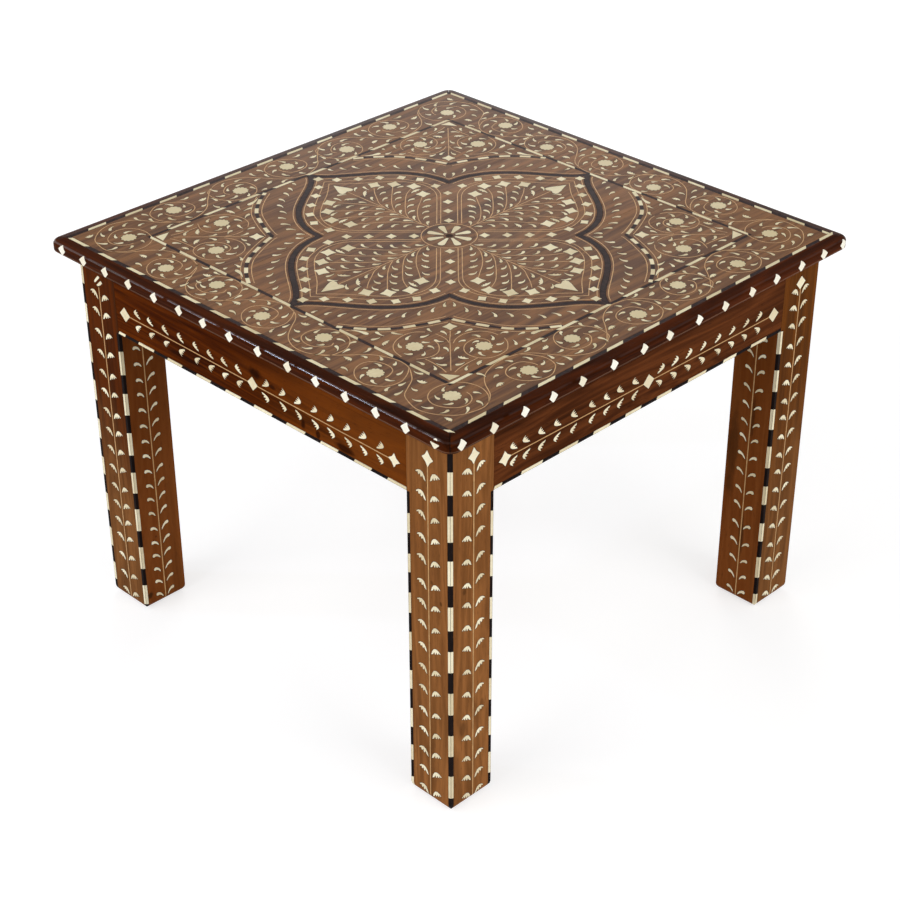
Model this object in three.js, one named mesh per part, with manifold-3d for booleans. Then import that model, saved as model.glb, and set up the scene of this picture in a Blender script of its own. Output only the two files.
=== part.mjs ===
// Low square table in the style of a kursi, inlaid with bone and ebony.
//
// Frame: millimetres, +Z up, the origin on the floor under the middle of the top.
// The -Y side is the front left one, the +X side is the front right one, and the
// front leg stands at the corner between them.

import * as THREE from 'three';
import { mergeVertices } from 'three/addons/utils/BufferGeometryUtils.js';
import Module from 'manifold-3d';

const wasm = await Module();
wasm.setup();

// Overall sizes
const TOP_WIDTH = 604;
const HEIGHT = 460;
const TOP_THICKNESS = 14.5;
const OVERHANG = 22;
const CLEARANCE = 0.3;
const CUT_OVERRUN = 4;

// Legs and their feet
const LEG_WIDTH = 58;
const FOOT_ROUNDING = 8;
const ROUNDING_STEPS = 4;

// Aprons and their tenons
const APRON_HEIGHT = 80;
const APRON_THICKNESS = 20;
const TENON_LENGTH = 28;
const TENON_THICKNESS = 8;
const TENON_SHOULDER = 12;
const TENON_SETBACK = 6;

// Boards of the top
const BOARD_COUNT = 3;
const TONGUE_THICKNESS = 4;
const TONGUE_DEPTH = 5;

// Edge moulding
const MOULDING_WIDTH = 13.5;
const MOULDING_SLOPE_DROP = 1.8;
const MOULDING_ARRIS_RADIUS = 4.5;
const MOULDING_BASE_RADIUS = 2.3;
const MOULDING_CORNER_RADIUS = 12;
const ARRIS_STEPS = 8;
const CORNER_STEPS = 8;

// Bands and strips of inlay
const INLAY_DEPTH = 1.5;
const OUTER_BAND_WIDTH = 4.2;
const INNER_BAND_WIDTH = 3.8;
const BORDER_WIDTH = 57;
const ARRIS_STRIP = 3.6;
const OGEE_WIDTH = 6.2;
const OGEE_STEPS = 14;
const MEDALLION_RADIUS = 26.5;
const MEDALLION_SIDES = 48;

// Glue blocks under the top, each with one screw up into a board
const BLOCK_LENGTH = 32;
const BLOCK_DEPTH = 24;
const BLOCK_HEIGHT = 28;
const SCREW_SHANK_RADIUS = 2;
const SCREW_HEAD_RADIUS = 4.2;
const SCREW_HEAD_HEIGHT = 2.6;
const SCREW_TIP_LENGTH = 4;
const SCREW_SINK = 1.5;
const SCREW_BITE = 8.5;
const SCREW_SIDES = 12;

// The ogee curve, from the point of a lobe to the cusp on the diagonal, as
// shares of the half width inside the inner band
const OGEE_POINT_SHARES = [0, 1];
const OGEE_NEAR_POINT_SHARES = [0.054, 0.84];
const OGEE_NEAR_CUSP_SHARES = [0.442, 0.781];
const OGEE_CUSP_SHARES = [0.4375, 0.4375];

// Sizes that follow from those above
const halfTop = TOP_WIDTH / 2;
const underTop = HEIGHT - TOP_THICKNESS;
const halfFrame = halfTop - OVERHANG;
const halfOpening = halfFrame - LEG_WIDTH;
const legTop = underTop - CLEARANCE;
const apronBottom = underTop - APRON_HEIGHT;
const halfBoards = halfTop - MOULDING_WIDTH;
const boardWidth = 2 * halfBoards / BOARD_COUNT;
const tongueMiddle = underTop + TOP_THICKNESS / 2;
const outerBandMiddle = halfBoards - OUTER_BAND_WIDTH / 2;
const innerBandMiddle = halfBoards - OUTER_BAND_WIDTH - BORDER_WIDTH - INNER_BAND_WIDTH / 2;
const halfField = innerBandMiddle - INNER_BAND_WIDTH / 2 - CLEARANCE;

const CORNERS = [
  { name: 'front', x: 1, y: -1 },
  { name: 'right', x: 1, y: 1 },
  { name: 'back', x: -1, y: 1 },
  { name: 'left', x: -1, y: -1 },
];
// Each side is the front left one turned about the middle of the table
const SIDES = [
  { name: 'front_left', turn: 0 },
  { name: 'front_right', turn: Math.PI / 2 },
  { name: 'back_right', turn: Math.PI },
  { name: 'back_left', turn: -Math.PI / 2 },
];

const group = new THREE.Group();
group.name = 'inlaid_kursi_table';

const finishes = {
  topWood: { color: 0x8a5f45, roughness: 0.5 },
  edgeWood: { color: 0x4a1d10, roughness: 0.3 },
  apronWood: { color: 0x5a2a14, roughness: 0.4 },
  legWood: { color: 0x8a562c, roughness: 0.45 },
  ebony: { color: 0x2c2224, roughness: 0.45 },
  plainWood: { color: 0x8c6a48, roughness: 0.75 },
  steel: { color: 0x8d8f92, roughness: 0.35, metalness: 0.9 },
};

// Solids and geometries

function toSolid(geometry) {
  const bare = geometry.index ? geometry.toNonIndexed() : geometry.clone();
  bare.deleteAttribute('normal');
  bare.deleteAttribute('uv');
  const merged = mergeVertices(bare);
  return new wasm.Manifold(new wasm.Mesh({
    numProp: 3,
    vertProperties: Float32Array.from(merged.attributes.position.array),
    triVerts: Uint32Array.from(merged.index.array),
  }));
}

function toGeometry(solid) {
  const mesh = solid.getMesh();
  const geometry = new THREE.BufferGeometry();
  geometry.setAttribute('position', new THREE.BufferAttribute(Float32Array.from(mesh.vertProperties), 3));
  geometry.setIndex(new THREE.BufferAttribute(Uint32Array.from(mesh.triVerts), 1));
  const flat = geometry.toNonIndexed();
  flat.computeVertexNormals();
  return flat;
}

function addPiece(name, solid, finish, turn = 0) {
  const { color, roughness, metalness = 0 } = finishes[finish];
  const material = new THREE.MeshStandardMaterial({ color, roughness, metalness });
  const mesh = new THREE.Mesh(toGeometry(turned(solid, turn)), material);
  mesh.name = name;
  group.add(mesh);
}

// A box between two corners
function box(low, high) {
  const size = high.map((value, i) => value - low[i]);
  const geometry = new THREE.BoxGeometry(...size);
  geometry.translate(...low.map((value, i) => value + size[i] / 2));
  return toSolid(geometry);
}

// A box between two corners that may come in either order
function boxAcross(a, b) {
  return box(a.map((value, i) => Math.min(value, b[i])), a.map((value, i) => Math.max(value, b[i])));
}

// An outline in X and Y, raised from one height to another
function raised(points, bottom, top) {
  const shape = new THREE.Shape(points.map(([x, y]) => new THREE.Vector2(x, y)));
  const geometry = new THREE.ExtrudeGeometry(shape, { depth: top - bottom, bevelEnabled: false });
  geometry.translate(0, 0, bottom);
  return toSolid(geometry);
}

// An outline in Y and Z, drawn out along X
function drawnAlongX(points, from, to) {
  const shape = new THREE.Shape(points.map(([y, z]) => new THREE.Vector2(y, z)));
  const geometry = new THREE.ExtrudeGeometry(shape, { depth: to - from, bevelEnabled: false });
  geometry.applyMatrix4(new THREE.Matrix4().set(0, 0, 1, from, 1, 0, 0, 0, 0, 1, 0, 0, 0, 0, 0, 1));
  return toSolid(geometry);
}

// A closed shape through level outlines that go the same way round the middle, with
// as many points each, from the lowest outline to the highest
function lofted(outlines) {
  const count = outlines[0].length;
  const points = outlines.flat();
  const bottom = points.push([0, 0, outlines[0][0][2]]) - 1;
  const top = points.push([0, 0, outlines.at(-1)[0][2]]) - 1;
  const last = (outlines.length - 1) * count;
  const index = [];
  for (let i = 0; i < count; i += 1) {
    const next = (i + 1) % count;
    index.push(bottom, next, i);
    index.push(top, last + i, last + next);
    for (let row = 0; row < last; row += count) {
      index.push(row + i, row + next, row + count + next);
      index.push(row + i, row + count + next, row + count + i);
    }
  }
  const geometry = new THREE.BufferGeometry();
  geometry.setAttribute('position', new THREE.Float32BufferAttribute(points.flat(), 3));
  geometry.setIndex(index);
  return toSolid(geometry);
}

// A turned shape from its radius and height pairs, about a vertical axis
function spun(profile, sides, x, y) {
  const geometry = new THREE.LatheGeometry(profile.map(([r, z]) => new THREE.Vector2(r, z)), sides);
  geometry.rotateX(Math.PI / 2);
  geometry.translate(x, y, 0);
  return toSolid(geometry);
}

function turned(solid, angle) {
  if (angle === 0) return solid;
  const cos = Math.round(Math.cos(angle));
  const sin = Math.round(Math.sin(angle));
  return solid.transform([cos, sin, 0, 0, -sin, cos, 0, 0, 0, 0, 1, 0, 0, 0, 0, 1]);
}

// Points of an arc about a centre, both ends included
function arc(centreX, centreY, radius, from, to, steps) {
  return Array.from({ length: steps + 1 }, (_, i) => {
    const angle = from + (to - from) * i / steps;
    return [centreX + radius * Math.cos(angle), centreY + radius * Math.sin(angle)];
  });
}

// Sections and outlines that are used more than once

// A square about the middle whose corners are rounded in plan
function roundedSquare(half, radius, steps) {
  return [
    ...arc(half - radius, half - radius, radius, 0, Math.PI / 2, steps),
    ...arc(radius - half, half - radius, radius, Math.PI / 2, Math.PI, steps),
    ...arc(radius - half, radius - half, radius, Math.PI, 1.5 * Math.PI, steps),
    ...arc(half - radius, radius - half, radius, 1.5 * Math.PI, 2 * Math.PI, steps),
  ];
}

// Half a lobe of the ogee, moved sideways by an offset from its middle line: from
// the line of symmetry through the lobe's point to the diagonal through its cusp
function ogeeHalf(offset) {
  const place = (shares) => new THREE.Vector2(shares[0] * halfField, shares[1] * halfField);
  const curve = new THREE.CubicBezierCurve(
    place(OGEE_POINT_SHARES), place(OGEE_NEAR_POINT_SHARES),
    place(OGEE_NEAR_CUSP_SHARES), place(OGEE_CUSP_SHARES));
  const reach = Math.abs(offset) + OGEE_WIDTH;
  const first = curve.getTangent(0);
  const last = curve.getTangent(1);
  const middle = [
    curve.getPoint(0).addScaledVector(first, -reach),
    ...curve.getPoints(OGEE_STEPS),
    curve.getPoint(1).addScaledVector(last, reach),
  ];
  const moved = middle.map((point, i) => {
    const share = THREE.MathUtils.clamp((i - 1) / OGEE_STEPS, 0, 1);
    const tangent = curve.getTangent(share);
    return [point.x - tangent.y * offset, point.y + tangent.x * offset];
  });
  return cutBetween(cutBetween(moved, ([x]) => x), ([x, y]) => y - x);
}

// The stretch of a line of points where a measure is positive, cut where it is zero
function cutBetween(points, measure) {
  const kept = [];
  points.forEach((point, i) => {
    const before = points[i - 1];
    if (before && measure(before) * measure(point) < 0) {
      const share = measure(before) / (measure(before) - measure(point));
      kept.push([0, 1].map((k) => before[k] + (point[k] - before[k]) * share));
    }
    if (measure(point) > 0) kept.push(point);
  });
  return kept;
}

// One lobe of the ogee band, grown on all sides by a clearance
function ogeeLobe(grow) {
  const mirrored = (points) => points.map(([x, y]) => [-x, y]);
  const outer = ogeeHalf(OGEE_WIDTH / 2 + grow);
  const inner = ogeeHalf(-OGEE_WIDTH / 2 - grow);
  const outline = [
    ...mirrored(outer).reverse(), ...outer.slice(1),
    ...inner.slice().reverse(), ...mirrored(inner).slice(1),
  ].reverse();
  const top = grow > 0 ? HEIGHT + CUT_OVERRUN : HEIGHT;
  const lobe = raised(outline, HEIGHT - INLAY_DEPTH + CLEARANCE - grow, top);
  const reach = halfField + grow;
  return lobe.intersect(box([-reach, -reach, underTop], [reach, reach, top]));
}

// Inlay of the top: each entry is a solid, or the groove it lies in

function bandStrip(middle, width, halfLength, grow) {
  const top = grow > 0 ? HEIGHT + CUT_OVERRUN : HEIGHT;
  return box(
    [-halfLength - grow, -middle - width / 2 - grow, HEIGHT - INLAY_DEPTH + CLEARANCE - grow],
    [halfLength + grow, -middle + width / 2 + grow, top]);
}

// Strips on two facing sides run through, and those on the other two stop at them
function bandHalfLength(middle, width, side) {
  const throughSide = side.name === 'front_left' || side.name === 'back_right';
  return throughSide ? middle + width / 2 : middle - width / 2 - CLEARANCE;
}

function medallion(grow) {
  const radius = MEDALLION_RADIUS + grow;
  const bottom = HEIGHT - INLAY_DEPTH + CLEARANCE - grow;
  const top = grow > 0 ? HEIGHT + CUT_OVERRUN : HEIGHT;
  return spun([[0, bottom], [radius, bottom], [radius, top], [0, top]], MEDALLION_SIDES, 0, 0);
}

function addTopInlay() {
  for (const side of SIDES) {
    const outerHalf = bandHalfLength(outerBandMiddle, OUTER_BAND_WIDTH, side);
    const innerHalf = bandHalfLength(innerBandMiddle, INNER_BAND_WIDTH, side);
    addPiece(`top_outer_band_${side.name}`,
      bandStrip(outerBandMiddle, OUTER_BAND_WIDTH, outerHalf, 0), 'ebony', side.turn);
    addPiece(`top_inner_band_${side.name}`,
      bandStrip(innerBandMiddle, INNER_BAND_WIDTH, innerHalf, 0), 'ebony', side.turn);
    addPiece(`ogee_band_${side.name}`, turned(ogeeBetweenCusps(), Math.PI), 'ebony', side.turn);
  }
  addPiece('centre_medallion', medallion(0), 'topWood');
}

// A lobe trimmed so that it stays clear of its neighbours at the cusps
function ogeeBetweenCusps() {
  const reach = halfField;
  const inset = CLEARANCE / Math.SQRT2;
  const wedge = raised([[0, inset], [reach, reach + inset], [-reach, reach + inset]], underTop, HEIGHT);
  return ogeeLobe(0).intersect(wedge);
}

function topGrooves() {
  let grooves = medallion(CLEARANCE);
  for (const side of SIDES) {
    const outerHalf = bandHalfLength(outerBandMiddle, OUTER_BAND_WIDTH, side);
    const innerHalf = bandHalfLength(innerBandMiddle, INNER_BAND_WIDTH, side);
    const outer = bandStrip(outerBandMiddle, OUTER_BAND_WIDTH, outerHalf, CLEARANCE);
    const inner = bandStrip(innerBandMiddle, INNER_BAND_WIDTH, innerHalf, CLEARANCE);
    for (const cut of [outer, inner, ogeeLobe(CLEARANCE)]) {
      grooves = grooves.add(turned(cut, side.turn));
    }
  }
  return grooves;
}

// Boards

function blockPlaces() {
  const y = halfFrame - APRON_THICKNESS - CLEARANCE - BLOCK_DEPTH / 2;
  const farX = halfOpening - CLEARANCE - BLOCK_LENGTH / 2;
  const places = [];
  for (const [end, sign] of [['front', -1], ['back', 1]]) {
    for (let board = 0; board < BOARD_COUNT; board += 1) {
      const middle = (board + 0.5) * boardWidth - halfBoards;
      const x = THREE.MathUtils.clamp(middle, -farX, farX);
      places.push({ name: `${end}_${boardName(board)}`, x, y: sign * y });
    }
  }
  return places;
}

function boardName(index) {
  const names = ['left', 'middle', 'right'];
  return BOARD_COUNT === names.length ? names[index] : `number_${index + 1}`;
}

// The rim groove that takes the mouldings' tongues
function rimGroove() {
  const depth = TONGUE_DEPTH + CLEARANCE;
  const bottom = tongueMiddle - TONGUE_THICKNESS / 2 - CLEARANCE;
  const top = tongueMiddle + TONGUE_THICKNESS / 2 + CLEARANCE;
  const far = halfTop;
  const near = halfBoards - depth;
  return box([-far, -far, bottom], [far, far, top])
    .subtract(box([-near, -near, underTop], [near, near, HEIGHT]));
}

function addBoards() {
  const cuts = rimGroove().add(topGrooves());
  const edge = halfBoards - CLEARANCE;
  const tongueLow = tongueMiddle - TONGUE_THICKNESS / 2;
  const tongueHigh = tongueMiddle + TONGUE_THICKNESS / 2;
  for (let i = 0; i < BOARD_COUNT; i += 1) {
    const left = i === 0 ? -edge : i * boardWidth - halfBoards + CLEARANCE / 2;
    const right = i === BOARD_COUNT - 1 ? edge : (i + 1) * boardWidth - halfBoards - CLEARANCE / 2;
    let board = box([left, -edge, underTop], [right, edge, HEIGHT]);
    if (i > 0) {
      board = board.subtract(box(
        [left - CUT_OVERRUN, -halfTop, tongueLow - CLEARANCE],
        [left + TONGUE_DEPTH + CLEARANCE, halfTop, tongueHigh + CLEARANCE]));
    }
    if (i < BOARD_COUNT - 1) {
      board = board.add(box([right - CUT_OVERRUN, -edge, tongueLow],
        [right + TONGUE_DEPTH, edge, tongueHigh]));
    }
    board = board.subtract(cuts);
    for (const place of blockPlaces()) board = board.subtract(screw(place, CLEARANCE));
    addPiece(`top_board_${boardName(i)}`, board, 'topWood');
  }
}

// Edge mouldings

// The moulding's face from its underside up and over the arris, and on past the
// boards' edge: how far inside the table's edge each point lies, and its height
function mouldingFace() {
  const arrisTop = HEIGHT - MOULDING_SLOPE_DROP;
  const r = MOULDING_ARRIS_RADIUS;
  const base = MOULDING_BASE_RADIUS;
  const slope = Math.atan2(MOULDING_SLOPE_DROP, MOULDING_WIDTH - r);
  return [
    ...arc(base, underTop + base, base, 1.5 * Math.PI, Math.PI, ARRIS_STEPS),
    ...arc(r, arrisTop - r, r, Math.PI, Math.PI / 2 + slope, ARRIS_STEPS),
    [MOULDING_WIDTH, HEIGHT],
    [MOULDING_WIDTH + CUT_OVERRUN, HEIGHT + CUT_OVERRUN * Math.tan(slope)],
  ];
}

// The whole slab that the moulding's face goes round, with rounded corners
function mouldedSlab() {
  return lofted(mouldingFace().map(([inset, height]) => {
    const radius = Math.max(MOULDING_CORNER_RADIUS - inset, CLEARANCE);
    return roundedSquare(halfTop - inset, radius, CORNER_STEPS).map(([x, y]) => [x, y, height]);
  }));
}

// A square frame about the middle, between two half widths and two heights
function squareFrame(near, far, bottom, top) {
  return box([-far, -far, bottom], [far, far, top])
    .subtract(box([-near, -near, bottom - CUT_OVERRUN], [near, near, top + CUT_OVERRUN]));
}

function addMouldings() {
  const inset = CLEARANCE / Math.SQRT2;
  const reach = halfTop + CUT_OVERRUN;
  const low = underTop - CUT_OVERRUN;
  const high = HEIGHT + CUT_OVERRUN;
  const tongue = squareFrame(halfBoards - TONGUE_DEPTH, halfBoards + CUT_OVERRUN,
    tongueMiddle - TONGUE_THICKNESS / 2, tongueMiddle + TONGUE_THICKNESS / 2);
  const mitres = raised([[0, -inset], [-reach, -reach - inset], [reach, -reach - inset]], low, high);
  const moulding = mouldedSlab().intersect(squareFrame(halfBoards, reach, low, high))
    .add(tongue).intersect(mitres);
  for (const side of SIDES) addPiece(`edge_moulding_${side.name}`, moulding, 'edgeWood', side.turn);
}

// Legs and the strips let into their arrises

// A leg's outline from the side, with the foot's lower corners rounded
function legSilhouette(from, to, top) {
  return [
    ...arc(from + FOOT_ROUNDING, FOOT_ROUNDING, FOOT_ROUNDING, Math.PI, 1.5 * Math.PI, ROUNDING_STEPS),
    ...arc(to - FOOT_ROUNDING, FOOT_ROUNDING, FOOT_ROUNDING, 1.5 * Math.PI, 2 * Math.PI, ROUNDING_STEPS),
    [to, top],
    [from, top],
  ];
}

// A leg's body over its whole height, before any cut
function legBlank(corner) {
  const low = (sign) => (sign > 0 ? halfOpening : -halfFrame);
  const alongX = drawnAlongX(legSilhouette(low(corner.y), low(corner.y) + LEG_WIDTH, legTop),
    low(corner.x), low(corner.x) + LEG_WIDTH);
  const swapped = drawnAlongX(legSilhouette(-low(corner.x) - LEG_WIDTH, -low(corner.x), legTop),
    low(corner.y), low(corner.y) + LEG_WIDTH);
  return alongX.intersect(turned(swapped, Math.PI / 2));
}

// The arrises that carry a strip: the outermost one, and the two beside the aprons.
// The outermost arris of the right leg is plain.
function arrises(corner) {
  const beside = apronBottom - CLEARANCE;
  const apronAlongX = corner.y < 0 ? 'front_left' : 'back_right';
  const apronAlongY = corner.x < 0 ? 'back_left' : 'front_right';
  const list = [
    { name: `strip_by_${apronAlongX}_apron`, x: -1, y: 1, top: beside },
    { name: `strip_by_${apronAlongY}_apron`, x: 1, y: -1, top: beside },
  ];
  if (corner.name !== 'right') list.push({ name: 'corner_strip', x: 1, y: 1, top: legTop });
  return list;
}

// A square column on one arris of a leg, grown inwards by a clearance
function arrisColumn(corner, arris, grow) {
  const place = (outward, sign) => {
    const face = outward > 0 ? halfFrame : halfOpening;
    const from = sign * (grow > 0 ? face + outward * CUT_OVERRUN : face);
    const to = sign * (face - outward * (ARRIS_STRIP + grow));
    return [from, to];
  };
  const [x0, x1] = place(arris.x, corner.x);
  const [y0, y1] = place(arris.y, corner.y);
  const bottom = grow > 0 ? -CUT_OVERRUN : 0;
  const top = arris.top + (grow > 0 ? grow : 0);
  return boxAcross([x0, y0, bottom], [x1, y1, Math.min(top, legTop + grow)]);
}

function addLegs() {
  for (const corner of CORNERS) {
    const blank = legBlank(corner);
    let leg = blank;
    for (const arris of arrises(corner)) {
      const strip = arrisColumn(corner, arris, 0).intersect(blank);
      addPiece(`leg_${corner.name}_${arris.name}`, strip, 'ebony');
      leg = leg.subtract(arrisColumn(corner, arris, CLEARANCE));
    }
    for (const side of SIDES) leg = leg.subtract(turned(tenons(CLEARANCE), side.turn));
    addPiece(`leg_${corner.name}`, leg, 'legWood');
  }
}

// Aprons, drawn along the front left side and then turned

// Both tenons of one apron, or with a clearance the mortises that take them
function tenons(grow) {
  const outside = -halfFrame + TENON_SETBACK;
  const root = grow > 0 ? 0 : TENON_LENGTH;
  const low = [outside - grow, apronBottom + TENON_SHOULDER - grow];
  const high = [outside + TENON_THICKNESS + grow, legTop - TENON_SHOULDER + grow];
  const make = (sign) => boxAcross(
    [sign * (halfOpening - root), low[0], low[1]],
    [sign * (halfOpening + TENON_LENGTH + grow), high[0], high[1]]);
  return make(-1).add(make(1));
}

function addAprons() {
  const end = halfOpening - CLEARANCE;
  const inside = -halfFrame + APRON_THICKNESS;
  const board = box([-end, -halfFrame, apronBottom], [end, inside, legTop]);
  const strip = box([-end, -halfFrame, apronBottom],
    [end, -halfFrame + ARRIS_STRIP, apronBottom + ARRIS_STRIP]);
  const groove = box([-halfFrame, -halfFrame - CUT_OVERRUN, apronBottom - CUT_OVERRUN],
    [halfFrame, -halfFrame + ARRIS_STRIP + CLEARANCE, apronBottom + ARRIS_STRIP + CLEARANCE]);
  const apron = board.add(tenons(0)).subtract(groove);
  for (const side of SIDES) {
    addPiece(`apron_${side.name}`, apron, 'apronWood', side.turn);
    addPiece(`apron_${side.name}_strip`, strip, 'ebony', side.turn);
  }
}

// Glue blocks and screws

// One screw standing in its block, or with a clearance the hole for it
function screw(place, grow) {
  const blockBottom = legTop - BLOCK_HEIGHT;
  const headBottom = grow > 0 ? blockBottom - CUT_OVERRUN : blockBottom + SCREW_SINK;
  const headTop = blockBottom + SCREW_SINK + SCREW_HEAD_HEIGHT;
  const tip = underTop + SCREW_BITE;
  const head = SCREW_HEAD_RADIUS + grow;
  const shank = SCREW_SHANK_RADIUS + grow;
  const faceRadiusHeight = blockBottom + SCREW_SINK;
  const profile = [
    [0, headBottom], [head, headBottom],
    ...(grow > 0 ? [[head, faceRadiusHeight + grow]] : []),
    [shank, headTop + grow], [shank, tip - SCREW_TIP_LENGTH], [0, tip + grow],
  ];
  return spun(profile, SCREW_SIDES, place.x, place.y);
}

function addBlocksAndScrews() {
  for (const place of blockPlaces()) {
    const block = box(
      [place.x - BLOCK_LENGTH / 2, place.y - BLOCK_DEPTH / 2, legTop - BLOCK_HEIGHT],
      [place.x + BLOCK_LENGTH / 2, place.y + BLOCK_DEPTH / 2, legTop]);
    addPiece(`glue_block_${place.name}`, block.subtract(screw(place, CLEARANCE)), 'plainWood');
    addPiece(`top_screw_${place.name}`, screw(place, 0), 'steel');
  }
}

addBoards();
addMouldings();
addTopInlay();
addAprons();
addLegs();
addBlocksAndScrews();

export default group;
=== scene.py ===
"""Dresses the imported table: wood and ebony on its solids, and bone, ebony and golden inlay let into them.

The table stands on the floor about the origin. Its -Y side is the front left one and its +X side the front
right one. Outlines are drawn in millimetres and made in metres.
"""

import math
import random
import bmesh
import bpy
from bpy.props import FloatProperty, FloatVectorProperty
from mathutils import Euler, Matrix, Vector


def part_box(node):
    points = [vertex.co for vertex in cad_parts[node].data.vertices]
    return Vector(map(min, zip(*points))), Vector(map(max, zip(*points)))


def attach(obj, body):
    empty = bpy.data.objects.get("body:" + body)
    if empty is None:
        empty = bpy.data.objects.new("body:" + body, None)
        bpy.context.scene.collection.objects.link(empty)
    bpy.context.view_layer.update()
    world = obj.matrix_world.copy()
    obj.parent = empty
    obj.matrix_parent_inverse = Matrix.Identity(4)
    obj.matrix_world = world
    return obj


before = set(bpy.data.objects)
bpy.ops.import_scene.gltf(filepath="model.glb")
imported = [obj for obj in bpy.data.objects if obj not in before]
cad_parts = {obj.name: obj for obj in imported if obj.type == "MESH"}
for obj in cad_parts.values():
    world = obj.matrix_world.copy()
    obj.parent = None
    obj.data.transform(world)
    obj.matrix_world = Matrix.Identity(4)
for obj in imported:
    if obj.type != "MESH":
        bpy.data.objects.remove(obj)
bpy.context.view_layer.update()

bl_info = {
    "name": "Inlaid kursi table",
    "version": (1, 0, 0),
    "blender": (4, 5, 0),
    "location": "View3D > Sidebar > Kursi table",
    "description": "Finishes and bone inlay for a low square table",
    "category": "Object",
}

MM = 0.001
SIDES = ("front_left", "front_right", "back_right", "back_left")
LEGS = ("front", "right", "back", "left")

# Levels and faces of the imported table, in millimetres
TOP_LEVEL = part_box("top_board_middle")[1].z / MM
HALF_TOP = -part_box("edge_moulding_front_left")[0].y / MM
MOULDING_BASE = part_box("edge_moulding_front_left")[0].z / MM
MOULDING_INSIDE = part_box("top_outer_band_front_left")[0].y / MM
HALF_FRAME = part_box("leg_front")[1].x / MM
HALF_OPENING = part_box("leg_front")[0].x / MM
APRON_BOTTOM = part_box("apron_front_left")[0].z / MM
APRON_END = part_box("apron_front_left_strip")[1].x / MM
STRIP = (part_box("leg_front_corner_strip")[1].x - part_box("leg_front_corner_strip")[0].x) / MM
OUTER_BAND = [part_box("top_outer_band_front_left")[k].y / MM for k in (0, 1)]
INNER_BAND = [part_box("top_inner_band_front_left")[k].y / MM for k in (0, 1)]
# Half the width of the field, with a hair's gap to the inner band
HALF_FIELD = -INNER_BAND[1] - 0.3
# Heights of the moulding's upper arris and of the pale line over its foot, and where its right side begins,
# all in metres
GLOSSY_LEVEL, PALE_LINE_LEVEL = (TOP_LEVEL - 3) * MM, (MOULDING_BASE + 2.4) * MM
RIGHT_SIDE = (0.287, 0.29)
# Between these heights ebony turns from that of the legs and aprons to that of the top, in metres
EBONY_LEVELS = (0.44, 0.444)


def hue(red, green, blue):
    """A colour as it is seen, 0 to 255, in the linear values that shaders use."""
    seen = [c / 255 for c in (red, green, blue)]
    return tuple(c / 12.92 if c <= 0.04045 else ((c + 0.055) / 1.055) ** 2.4 for c in seen)


def shaded(tint, share):
    return tuple(c * share for c in tint)


def length(name, description, default, high):
    return FloatProperty(
        name=name, description=description, default=default * MM, min=0, max=high * MM,
        precision=5, subtype="DISTANCE", unit="LENGTH")


def colour(name, description, seen):
    return FloatVectorProperty(
        name=name, description=description, default=hue(*seen), size=3, min=0, max=1, subtype="COLOR")


class KursiInlaySizes(bpy.types.PropertyGroup):
    """Sizes of the inlay"""

    proud: length("Bone above wood", "How far bone stands above the wood after rubbing down", 0.05, 0.2)
    string_proud: length(
        "Stringing above wood", "How far the golden stringing stands above the wood", 0.035, 0.2)
    mastic_proud: length("Mastic above wood", "How far the dark filling round each piece stands up", 0.02, 0.1)
    sink: length("Inlay depth", "How deep the pieces are let into the wood", 0.9, 3)
    arris: length("Rubbed arris", "Chamfer along the top edge of each piece of bone", 0.12, 0.3)
    gap: length("Mastic width", "Width of the dark filling round each piece", 0.3, 1)
    stringing: length("Stringing width", "Width of the golden lines", 1.05, 3)
    stem: length("Stem width", "Width of the straight golden stems on legs and aprons", 1.45, 3)
    leaf: length("Leaf width", "Greatest width of a comma leaf", 3.7, 8)
    flower: length("Flower radius", "Radius of the bone flowers", 8.9, 14)
    chequer: length("Chequered band width", "Width of the chequered band inside the cusps", 4.2, 10)
    wander: length("Hand wander", "How far a piece strays from its place, as in hand work", 0.3, 2)


class KursiColours(bpy.types.PropertyGroup):
    """Colours of the woods, bone and stringing"""

    top_light: colour("Top, light", "Light grain of the top", (146, 97, 52))
    top_dark: colour("Top, dark", "Dark grain of the top", (88, 52, 24))
    apron_light: colour("Aprons, light", "Light grain of the aprons", (104, 46, 4))
    apron_dark: colour("Aprons, dark", "Dark grain of the aprons", (56, 18, 1))
    side_apron_light: colour("Right aprons, light", "Light grain of the front right apron", (107, 58, 28))
    side_apron_dark: colour("Right aprons, dark", "Dark grain of the front right apron", (64, 31, 13))
    leg_light: colour("Legs, light", "Light grain of the legs", (152, 99, 54))
    leg_dark: colour("Legs, dark", "Dark grain of the legs", (110, 69, 35))
    edge_light: colour("Moulding, light", "Light grain of the edge moulding", (84, 36, 8))
    edge_dark: colour("Moulding, dark", "Dark grain of the edge moulding", (46, 17, 4))
    # Colour of the pale line drawn along the moulding's foot
    edge_worn: colour(
        "Moulding, worn", "Wood along the moulding's lower arris, where it is worn pale", (124, 92, 72))
    plain: colour("Hidden wood", "Plain wood of the glue blocks", (150, 112, 74))
    bone: colour("Bone", "Bone of the top", (234, 221, 180))
    bone_dark: colour("Bone, dark", "Darker pieces and streaks of bone", (210, 192, 146))
    # Copies of the top's bone, paler for the legs and aprons and whitest for the moulding's diamonds: painted
    # light, for the stronger light that falls there
    pale_bone: colour("Pale bone", "Whiter bone of the legs, aprons and moulding", (250, 240, 208))
    pale_bone_dark: colour("Pale bone, dark", "Darker pieces of the whiter bone", (222, 206, 168))
    white_bone: colour("White bone", "Bone of the moulding's diamonds", (255, 252, 238))
    white_bone_dark: colour("White bone, dark", "Darker pieces of the moulding's diamonds", (240, 230, 204))
    ebony: colour("Ebony", "Ebony of the bands and strips", (46, 28, 25))
    stringing: colour("Stringing", "Golden stringing", (208, 160, 104))
    mastic: colour("Mastic", "Dark filling round the inlay", (46, 25, 13))


def amount(name, description, default, high=1, **kind):
    return FloatProperty(name=name, description=description, default=default, min=0, max=high, **kind)


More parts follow.
